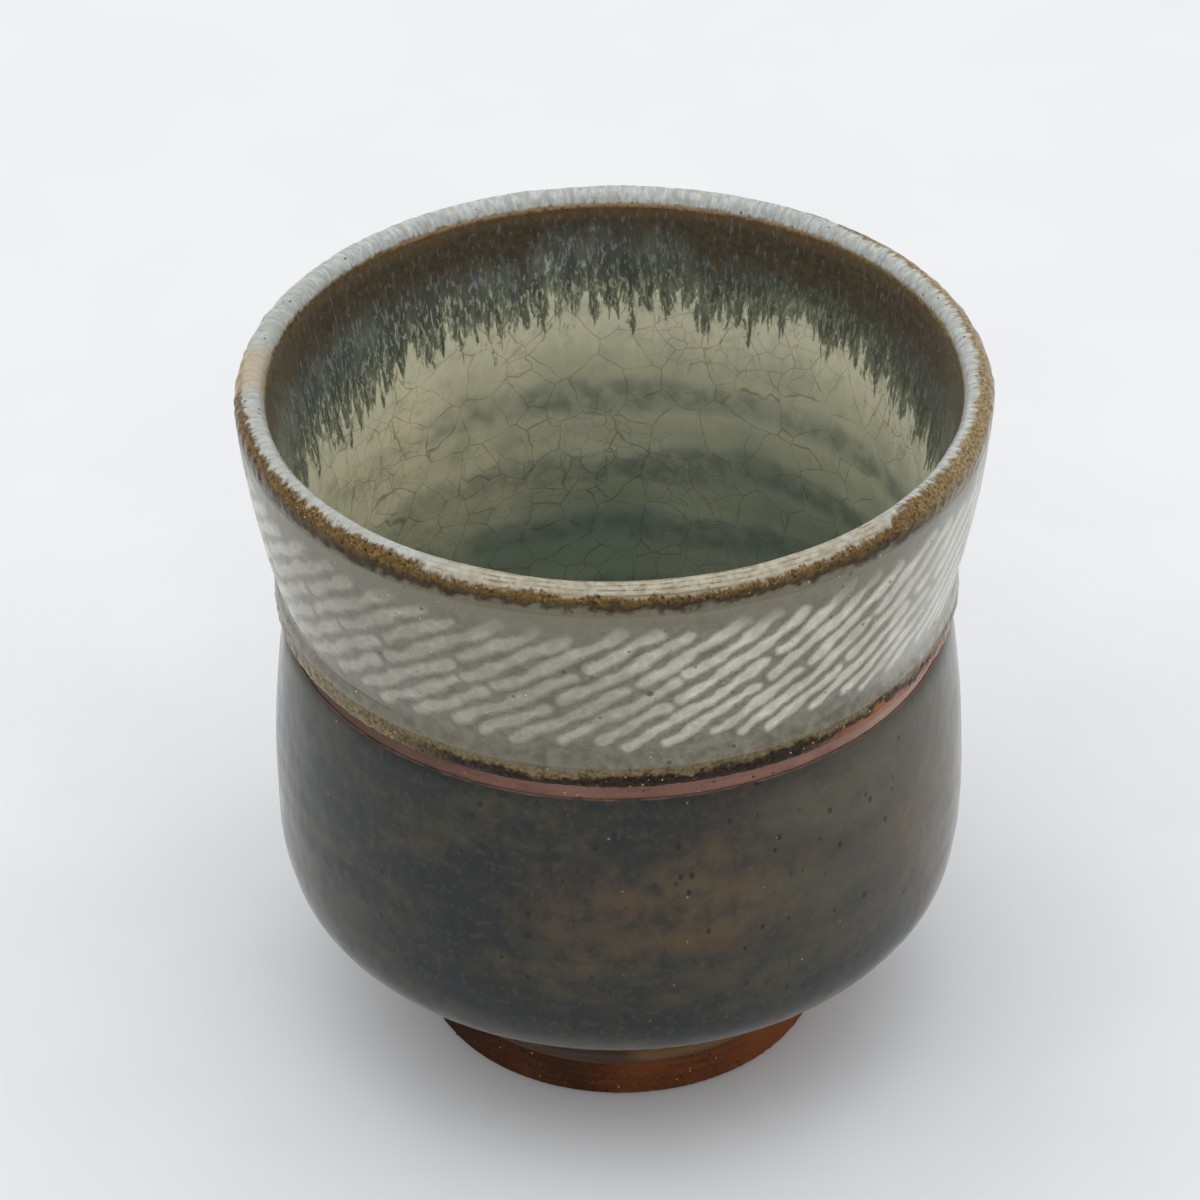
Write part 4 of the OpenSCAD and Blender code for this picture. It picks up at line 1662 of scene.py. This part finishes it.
@dataclass(frozen=True)
class InsideLayer:
    """The inside: brown under the lip, blue-green runs with pale streaks, then the crackled liner."""

    cream_warm: Tone = Tone(154, 152, 131, 0.53)
    cream_cool: Tone = Tone(142, 142, 125, 0.53)
    # painted light on the inside's left wall
    left_painted_light: Tone = Tone(178, 171, 144, 0.5)
    under_runs: Tone = Tone(178, 174, 152, 0.53)
    cream_mottle: Tone = Tone(122, 124, 106, 0.54)
    deep_green: Tone = Tone(89, 97, 86, 0.4)
    pool_blue: Tone = Tone(56, 66, 64, 0.5)
    low_crack: Tone = Tone(56, 58, 46, 0.5)
    high_crack: Tone = Tone(104, 84, 58, 0.6)
    dark_fleck: Tone = Tone(48, 52, 46, 0.5)
    brown_fleck: Tone = Tone(96, 70, 22, 0.5)
    slate_light: Tone = Tone(64, 69, 60, 0.45)
    slate_dark: Tone = Tone(42, 46, 42, 0.5)
    slate_streak: Tone = Tone(38, 42, 38, 0.5)
    blue_hair: Tone = Tone(98, 106, 112, 0.55)
    cream_hair: Tone = Tone(164, 162, 138, 0.55)
    right_shade: Tone = Tone(36, 39, 33, 0.55)
    run_edge: Tone = Tone(96, 102, 84, 0.5)
    brown_dark: Tone = Tone(18, 12, 5, 0.6)
    brown_light: Tone = Tone(50, 33, 15, 0.6)
    brown_amber: Tone = Tone(88, 62, 30, 0.6)
    brown_hair: Tone = Tone(98, 108, 116, 0.6)
    ring_pitch: float = 9.5

    def cream(self, place: Field, flow: Field, run: Field, slow: Field, mid: Field) -> Field:
        """The liner's colour: painted light makes it warm and bright at the left; green where it is deep, blue
        where it pools.

        Args:
            place: Place in mm.
            flow: Place along the section.
            run: Distance above the edge of the runs, in mm.
            slow: The broad noise.
            mid: The middle noise.

        Returns:
            The colour.
        """
        height_z = place.split()[2]
        # Painted light: the inside's left wall is lightened, and its green depth and blue pools are weakened
        # there.
        left_lit = (flow.toward(172) + slow.drift(0.3)).ease(0.2, 0.85)
        cream = slow.ease(0.35, 0.65).between(self.cream_warm, self.cream_cool)
        cream = cream.under(self.left_painted_light, left_lit)
        cream = cream.under(self.under_runs, run.ease(-7.0, -1.0) * 0.7)
        cream = cream.under(self.cream_mottle, mid.ease(0.45, 0.75, 0, 0.35))
        deep = (height_z + slow.drift(9)).ease(62, 32) * left_lit.line(0, 1, 1, 0.72)
        cream = cream.under(self.deep_green, deep)
        ring = ((height_z + slow.drift(1.6)) * (TURN / self.ring_pitch)).math("SINE")
        pool = ring.ease(-0.5, 1.0) * mid.ease(0.3, 0.65, 0.55, 1)
        pool = pool * height_z.ease(12.5, 18, 0.2, 1) * height_z.ease(66, 58) * left_lit.line(0, 1, 0.65, 0.3)
        return cream.under(self.pool_blue, pool)

    def slate(self, flow: Field, frayed: Field, thin: Field, hair: Field) -> Field:
        """The runs' colour: slate with darker streaks and pale hairs, paler near the ragged edge.

        Args:
            flow: Place along the section.
            frayed: Distance above the frayed edge of the runs, in mm.
            thin: The streaks' noise.
            hair: The hairs' noise.

        Returns:
            The colour.
        """
        broad = flow.stretch(0.42, 0.42, 0.085).noise(1.0, 3, 0.6, 0.3)
        slate = broad.ease(0.35, 0.65).between(self.slate_light, self.slate_dark)
        slate = slate.under(self.slate_streak, thin.ease(0.48, 0.62, 0, 0.75))
        streaks = frayed.ease(8.5, 3.0).between(self.blue_hair, self.cream_hair)
        slate = slate.under(streaks, hair.ease(0.5, 0.62, 0, 0.8))
        slate = slate.under(self.right_shade, flow.toward(34).ease(0.25, 0.9, 0, 0.55))
        return slate.under(self.run_edge, frayed.ease(5.0, 0.5) * 0.6)

    def group(self) -> bpy.types.NodeTree:
        """Lays the cracked cream, the slate runs over it and the brown over their top.

        Returns:
            The group, with outputs Color and Height.
        """
        sheet = Sheet(bpy.data.node_groups.new("runs_and_liner", "ShaderNodeTree"))
        place, flow, run = sheet.object_mm(), sheet.flow(), sheet.read("run")
        way, height_z = flow.split()[2], place.split()[2]
        slow, mid = place.noise(0.055), place.noise(0.45, 4)
        thin = flow.stretch(1.05, 1.05, 0.27).noise(1.0, 4, 0.6, 0.6)
        hair = flow.stretch(2.1, 2.1, 0.8).noise(1.0, 3, 0.62, 0.5)
        frayed = run + (thin.drift(4.2, 0.25) + hair.drift(1.2, 0.25))
        runs = frayed.ease(-0.2, 1.3)

        bent = place.bent(0.22, 1.9)
        wide = bent.seams(0.19).ease(0.018, 0.004) * mid.ease(0.3, 0.55, 0.35, 1)
        close = bent.seams(0.4).ease(0.026, 0.006) * slow.ease(0.42, 0.55, 0.1, 0.75)
        cracks = wide.math("MAXIMUM", close) * runs.line(0, 1, 1, 0.12)
        stain = height_z.ease(52, 66).between(self.low_crack, self.high_crack)
        cream = self.cream(place, flow, run, slow, mid).under(stain, cracks * 0.5)
        cream = cream.under(self.dark_fleck, place.specks(0.16, 0.12, 0.3))
        cream = cream.under(self.brown_fleck, place.specks(0.05, 0.07, 0.3))

        top = (way + (thin.drift(2.2, 0.25) + flow.toward(90).ease(0.955, 0.99, 0, 3.0))).ease(10.2, 5.6)
        brown = place.noise(1.2, 4, 0.6).ease(0.35, 0.65).between(self.brown_dark, self.brown_light)
        brown = brown.under(self.brown_amber, way.ease(3.6, 2.0, 0, 0.4))
        brown = brown.under(self.brown_hair, hair.ease(0.56, 0.7, 0, 0.35))
        slate = self.slate(flow, frayed, thin, hair).under(brown, top)
        return sheet.as_group(Color=cream.under(slate, runs * 0.94), Height=thin * 0.5 - cracks)


# The finishes


@dataclass(frozen=True)
class Finish:
    """What every finish shares: a principled surface whose plain values sit on its own sockets.

    Attributes:
        name: Name of the material.
        rough: Mean roughness.
        rough_spread: How much the roughness varies.
        bump: Height of the finest relief, in mm.
        ior: Index of refraction.
        specular: Level of the plain reflection.
    """

    name: str
    rough: float = 0.2
    rough_spread: float = 0.1
    bump: float = 0.005
    ior: float = 1.5
    specular: float = 0.5

    def paint(self, sheet: Sheet) -> tuple[Field, Field]:
        """The finish's colour, and its fine relief of about one unit, laid on a sheet."""
        raise NotImplementedError

    def material(self) -> bpy.types.Material:
        """Links the paint and a slowly varied roughness to the surface shader.

        Returns:
            The new material.
        """
        material = bpy.data.materials.new(self.name)
        material.use_nodes = True
        material.node_tree.nodes.clear()
        sheet = Sheet(material.node_tree)
        color, height = self.paint(sheet)
        low, high = self.rough - self.rough_spread, self.rough + self.rough_spread
        bump = sheet.field("Bump", 0, {"Strength": 1.0, "Distance": self.bump * MM, "Height": height})
        shader = sheet.field("BsdfPrincipled", 0, {
            "IOR": self.ior,
            "Specular IOR Level": self.specular,
            "Base Color": color,
            "Roughness": sheet.object_mm().noise(0.35).line(0.3, 0.7, low, high),
            "Normal": bump,
        })
        sheet.put("OutputMaterial", {"Surface": shader})
        return material


@dataclass(frozen=True)
class OutsideGlaze(Finish):
    """The grey coat, slip and iron of the collar, ending in the lip's iron glaze."""

    grey: bpy.types.NodeTree | None = None
    lip: bpy.types.NodeTree | None = None

    def paint(self, sheet: Sheet) -> tuple[Field, Field]:
        """Lays the lip's glaze over the grey coat by the lip's own mask.

        Args:
            sheet: The material's sheet.

        Returns:
            Colour and relief.
        """
        low, high = sheet.placed(self.grey), sheet.placed(self.lip)
        color = low["Color"].under(high["Color"], high["Mask"])
        return color, low["Height"] + high["Height"] * high["Mask"]


@dataclass(frozen=True)
class RimGlaze(OutsideGlaze):
    """The iron glaze over the lip, with the grey coat outside it and the runs inside."""

    inside: bpy.types.NodeTree | None = None

    def paint(self, sheet: Sheet) -> tuple[Field, Field]:
        """Takes the outside's or the inside's colour by the side of the crest, under the lip's own.

        Args:
            sheet: The material's sheet.

        Returns:
            Colour and relief.
        """
        low, high, inner = (sheet.placed(tree) for tree in (self.grey, self.lip, self.inside))
        side = sheet.flow().split()[2].ease(-0.2, 0.2)
        color = low["Color"].under(inner["Color"], side).under(high["Color"], high["Mask"])
        return color, inner["Height"] + high["Height"] * high["Mask"]


@dataclass(frozen=True)
class LinerGlaze(Finish):
    """The crackled liner with the runs over its upper part."""

    inside: bpy.types.NodeTree | None = None

    def paint(self, sheet: Sheet) -> tuple[Field, Field]:
        """Takes the inside's colour and its sunken cracks."""
        inner = sheet.placed(self.inside)
        return inner["Color"], inner["Height"]


@dataclass(frozen=True)
class DarkGlaze(Finish):
    """The blue-black body coat with brown patches, thin and brown at its two edges."""

    green_grey: Tone = Tone(27, 30, 27, 0.95)
    olive_grey: Tone = Tone(53, 50, 35, 0.95)
    blue_black: Tone = Tone(16, 22, 26, 0.95)
    grain: Tone = Tone(66, 58, 37, 0.95)
    patch: Tone = Tone(80, 62, 39, 0.9)
    # painted light on the upper right of the body
    right_light: Tone = Tone(98, 92, 72, 0.9)
    pit: Tone = Tone(6, 8, 11, 0.9)
    large_pit: Tone = Tone(6, 8, 10, 0.9)
    rust_speck: Tone = Tone(150, 96, 50, 0.7)
    neck_dark: Tone = Tone(50, 33, 13, 0.8)
    neck_light: Tone = Tone(94, 64, 25, 0.8)
    low_edge: Tone = Tone(72, 46, 28, 0.65)
    high_edge: Tone = Tone(92, 68, 56, 0.6)
    front_patch: tuple[float, float, float] = (11.0, -39.0, 60.0)
    right_patch: tuple[float, float, float] = (36.0, -17.0, 36.0)

    def paint(self, sheet: Sheet) -> tuple[Field, Field]:
        """Mottles blue-black and green-grey, then lays brown patches, specks and the edges over it.

        Args:
            sheet: The material's sheet.

        Returns:
            Colour and relief.
        """
        place = sheet.object_mm()
        across, _, height_z = place.split()
        band = place.stretch(0.5, 0.5, 1.6).noise(0.07, 4, 0.6)
        slow, mid, fine = place.noise(0.06), place.noise(0.35, 4, 0.6), place.noise(1.8, 4, 0.7)
        color = band.ease(0.4, 0.62).between(self.green_grey, self.olive_grey)
        color = color.under(self.blue_black, mid.ease(0.36, 0.68, 0, 0.8))
        color = color.under(self.grain, place.noise(1.05, 4, 0.65).ease(0.5, 0.68, 0, 0.5))

        stray = slow.drift(7) + band.drift(8)
        warm = (place.stretch(1.0, 1.0, 1.5).away_from(*self.front_patch) + stray).ease(20, 6)
        warm = warm.math("MAXIMUM", (place.away_from(*self.right_patch) + stray).ease(16, 4))
        other = place.stretch(1.0, 1.0, 1.8).noise(0.035, 3, 0.6).ease(0.62, 0.76)
        color = color.under(self.patch, warm.math("MAXIMUM", other) * mid.ease(0.28, 0.7, 0.85, 0.2))
        # Painted light: the body's upper right side is lightened.
        lit = (across + band.drift(9)).ease(6, 32, 0, 0.4) * height_z.ease(20, 44)
        color = color.under(self.right_light, lit)

        color = color.under(self.pit, place.stretch(1.0, 1.0, 0.7).specks(0.55, 0.26, 0.7) * 0.9)
        color = color.under(self.large_pit, place.specks(0.17, 0.15, 0.45) * 0.7)
        color = color.under(self.rust_speck, place.specks(0.7, 0.13, 0.12))
        neck = slow.ease(0.45, 0.6).between(self.neck_dark, self.neck_light)
        color = color.under(neck, (height_z + slow.drift(2)).ease(12.5, 7.5))
        uneven = height_z + mid.drift(0.14)
        color = color.under(self.low_edge, uneven.ease(4.9, 4.3))
        color = color.under(self.high_edge, uneven.ease(54.42, 54.74))
        return color, fine * 0.6 + mid


@dataclass(frozen=True)
class FiredClay(Finish):
    """Bare fired clay: grain, turning lines, and specks.

    Attributes:
        dark: Its darker parts.
        light: Its lighter parts.
        fleck: Its flecks.
        ends: How far a painted reflection pales the cup's right end, and how far the clay darkens at its left.
    """

    dark: Tone = Tone(40, 21, 9, 0.6)
    light: Tone = Tone(92, 48, 22, 0.6)
    fleck: Tone = Tone(176, 122, 72, 0.7)
    ends: float = 0.0
    # painted reflection low on the bare band's right end
    right_reflection: Tone = Tone(152, 130, 118, 0.66)
    right_tan: Tone = Tone(112, 80, 54, 0.66)
    left_brown: Tone = Tone(66, 50, 40, 0.66)
    low_dark: Tone = Tone(44, 24, 11, 0.66)
    low_light: Tone = Tone(96, 52, 26, 0.66)
    pit: Tone = Tone(30, 20, 14, 0.7)

    def paint(self, sheet: Sheet) -> tuple[Field, Field]:
        """Mixes the two tones by broad and fine noise and by level turning lines.

        Args:
            sheet: The material's sheet.

        Returns:
            Colour and relief.
        """
        place = sheet.object_mm()
        across, _, height_z = place.split()
        slow, fine = place.noise(0.07), place.noise(1.9, 5, 0.7)
        lines = place.stretch(0.12, 0.12, 2.6).noise(1.0, 4, 0.6)
        share = slow * 0.5 + fine * 0.3 + (lines * 0.25 + across.line(-24, 24, -0.12, 0.12))
        color = share.ease(0.36, 0.7).between(self.dark, self.light)
        # Painted reflection: the lower part of the bare band's right end is paled; above it the clay turns tan.
        pale = height_z.ease(55.3, 56.3).between(self.right_reflection, self.right_tan)
        color = color.under(pale, (across + slow.drift(5)).ease(19, 31, 0, self.ends))
        color = color.under(self.left_brown, across.ease(-12, -30, 0, 0.6 * self.ends))
        red = share.ease(0.36, 0.7).between(self.low_dark, self.low_light)
        color = color.under(red, height_z.ease(14, 9))
        color = color.under(self.fleck, place.specks(1.3, 0.2, 0.25))
        color = color.under(self.pit, place.specks(0.9, 0.22, 0.3))
        return color, fine + lines


@dataclass(frozen=True)
class PaleBoard(Finish):
    """The studio's floor: a pale board with faint broad marks."""

    board: Tone = Tone(240, 240, 241)
    mark: Tone = Tone(228, 229, 232)

    def paint(self, sheet: Sheet) -> tuple[Field, Field]:
        """Mixes the two tones by a broad noise."""
        place = sheet.object_mm()
        return place.noise(0.03).ease(0.35, 0.65, 0, 0.3).between(self.board, self.mark), place.noise(0.6)


# The studio


def stand(thing: bpy.types.Object, *columns: Array) -> None:
    """Links a lamp or camera to the scene and sets its right, up and back axes and its place.

    Args:
        thing: The lamp's or camera's object.
        *columns: The three axes and the place, in metres.
    """
    matrix = np.eye(4)
    matrix[:3] = np.stack(columns, 1)
    thing.matrix_world = Matrix(matrix.tolist())
    bpy.context.scene.collection.objects.link(thing)


@dataclass(frozen=True)
class PhotoCamera:
    """The fitted camera: it stands before the cup, looks down, and is turned a little on three axes.

    Attributes:
        distance: Distance to the aim, in mm.
        aim_z: Height of the aim, in mm.
        down: Angle below the level, in degrees.
        focal: Focal length in pixels of a square picture.
        picture: Side of that picture in pixels.
        shift_x: How far the aim lies beside the picture's middle, in pixels.
        shift_y: How far it lies above or below it, in pixels.
        roll: Roll in degrees.
        sensor: Width of the sensor, in mm.
        clip: Nearest and farthest visible distance, in metres.
    """

    distance: float = 600.0
    aim_z: float = 40.0
    down: float = 36.717
    focal: float = 5171.6
    picture: float = 1200.0
    shift_x: float = 17.154
    shift_y: float = 100.55
    roll: float = -0.779
    sensor: float = 36.0
    clip: tuple[float, float] = (0.01, 20.0)

    def build(self) -> None:
        """Makes the camera. Its axes are turned by the yaw and pitch that move the aim, then rolled."""
        down, roll = math.radians(self.down), math.radians(self.roll)
        forward = np.array([0, math.cos(down), -math.sin(down)])
        right = np.array([1.0, 0, 0])
        up = np.cross(right, forward)
        yaw, pitch = math.atan(-self.shift_x / self.focal), math.atan(self.shift_y / self.focal)
        ahead = forward * math.cos(yaw) + right * math.sin(yaw)
        right = right * math.cos(yaw) - forward * math.sin(yaw)
        look = ahead * math.cos(pitch) + up * math.sin(pitch)
        up = up * math.cos(pitch) - ahead * math.sin(pitch)
        tilted = right * math.cos(roll) + up * math.sin(roll)
        up = up * math.cos(roll) - right * math.sin(roll)
        data = bpy.data.cameras.new("photo_camera")
        data.sensor_width = self.sensor
        data.lens = self.focal / self.picture * self.sensor
        data.clip_start, data.clip_end = self.clip
        camera = bpy.data.objects.new("photo_camera", data)
        stand(camera, tilted, up, -look, (np.array([0, 0, self.aim_z]) - self.distance * forward) * MM)
        bpy.context.scene.camera = camera


@dataclass(frozen=True)
class Studio:
    """A pale floor under a wide soft light that hangs above the cup. Lengths are in metres.

    Attributes:
        sky: Strength of the even light from all round.
        air: Colour of that light.
        panel_power: Power of the soft panel, in watts.
        panel_side: Side of the panel.
        panel_place: Middle of the panel.
        aim: The point of the cup that the panel faces.
        floor_half: Half the side of the floor.
    """

    sky: float = 0.79
    air: tuple[float, float, float, float] = (0.97, 0.985, 1.0, 1.0)
    panel_power: float = 5.0
    panel_side: float = 1.4
    panel_place: tuple[float, float, float] = (-0.03, -0.05, 1.1)
    aim: tuple[float, float, float] = (0.0, 0.0, 0.04)
    floor_half: float = 4.0

    def build(self) -> None:
        """Makes the world, the panel aimed at the cup, and the square floor at the resting face."""
        bpy.context.scene.view_settings.view_transform = "Standard"
        world = bpy.data.worlds.new("studio_air")
        world.use_nodes = True
        background = world.node_tree.nodes["Background"]
        background.inputs["Color"].default_value = self.air
        background.inputs["Strength"].default_value = self.sky
        bpy.context.scene.world = world
        data = bpy.data.lights.new("soft_panel", "AREA")
        data.shape, data.size, data.energy = "SQUARE", self.panel_side, self.panel_power
        place = np.array(self.panel_place)
        back = place - np.array(self.aim)
        back /= np.linalg.norm(back)
        right = np.cross([0, 1, 0], back)
        right /= np.linalg.norm(right)
        stand(bpy.data.objects.new("soft_panel", data), right, np.cross(back, right), back, place)
        corners = np.array([[-1, -1, 0], [1, -1, 0], [1, 1, 0], [-1, 1, 0]]) * self.floor_half
        board = write_mesh("studio_floor", corners, np.array([[0, 1, 2, 3]]), NO_TRIANGLES, {}, {})
        finish = PaleBoard("pale_board", rough=0.7, rough_spread=0.05, bump=0.01, specular=0.2)
        board.data.materials.append(finish.material())


def main() -> None:
    """Builds the studio and the cup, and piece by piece."""
    logging.basicConfig(level=logging.INFO, format="%(name)s: %(message)s")
    parts = (Skin(CupForm()), HandWobble(), Relief(), SlipPattern(), RunPattern())
    PhotoCamera().build()
    Studio().build()
    outside = {"grey": GreyLayer().group(), "lip": LipLayer().group()}
    inside = InsideLayer().group()
    pink = {"dark": Tone(74, 52, 43, 0.6), "light": Tone(110, 80, 70, 0.6), "fleck": Tone(150, 128, 110, 0.7)}
    ClayBody(*parts).build(FiredClay("bare_pink_clay", 0.72, bump=0.02, ior=1.35, ends=0.9, **pink))
    FootRing(*parts).build(FiredClay("foot_red_clay", 0.74, bump=0.03, ior=1.25))
    coats = OuterCoats(*parts)
    coats.body(DarkGlaze("dark_body_glaze", 0.17, rough_spread=0.04, ior=1.41))
    coats.iron(OutsideGlaze("ledge_iron_glaze", ior=1.24, **outside))
    coats.collar(OutsideGlaze("grey_collar_glaze", 0.22, ior=1.55, **outside))
    SlipStrokes(*parts).build(OutsideGlaze("pale_slip_under_glaze", 0.22, ior=1.55, **outside))
    inner = InnerCoats(*parts)
    inner.rim(RimGlaze("rim_iron_glaze", ior=1.28, inside=inside, **outside))
    inner.liner(LinerGlaze("crackle_liner_glaze", inside=inside))


if __name__ == "__main__":
    main()
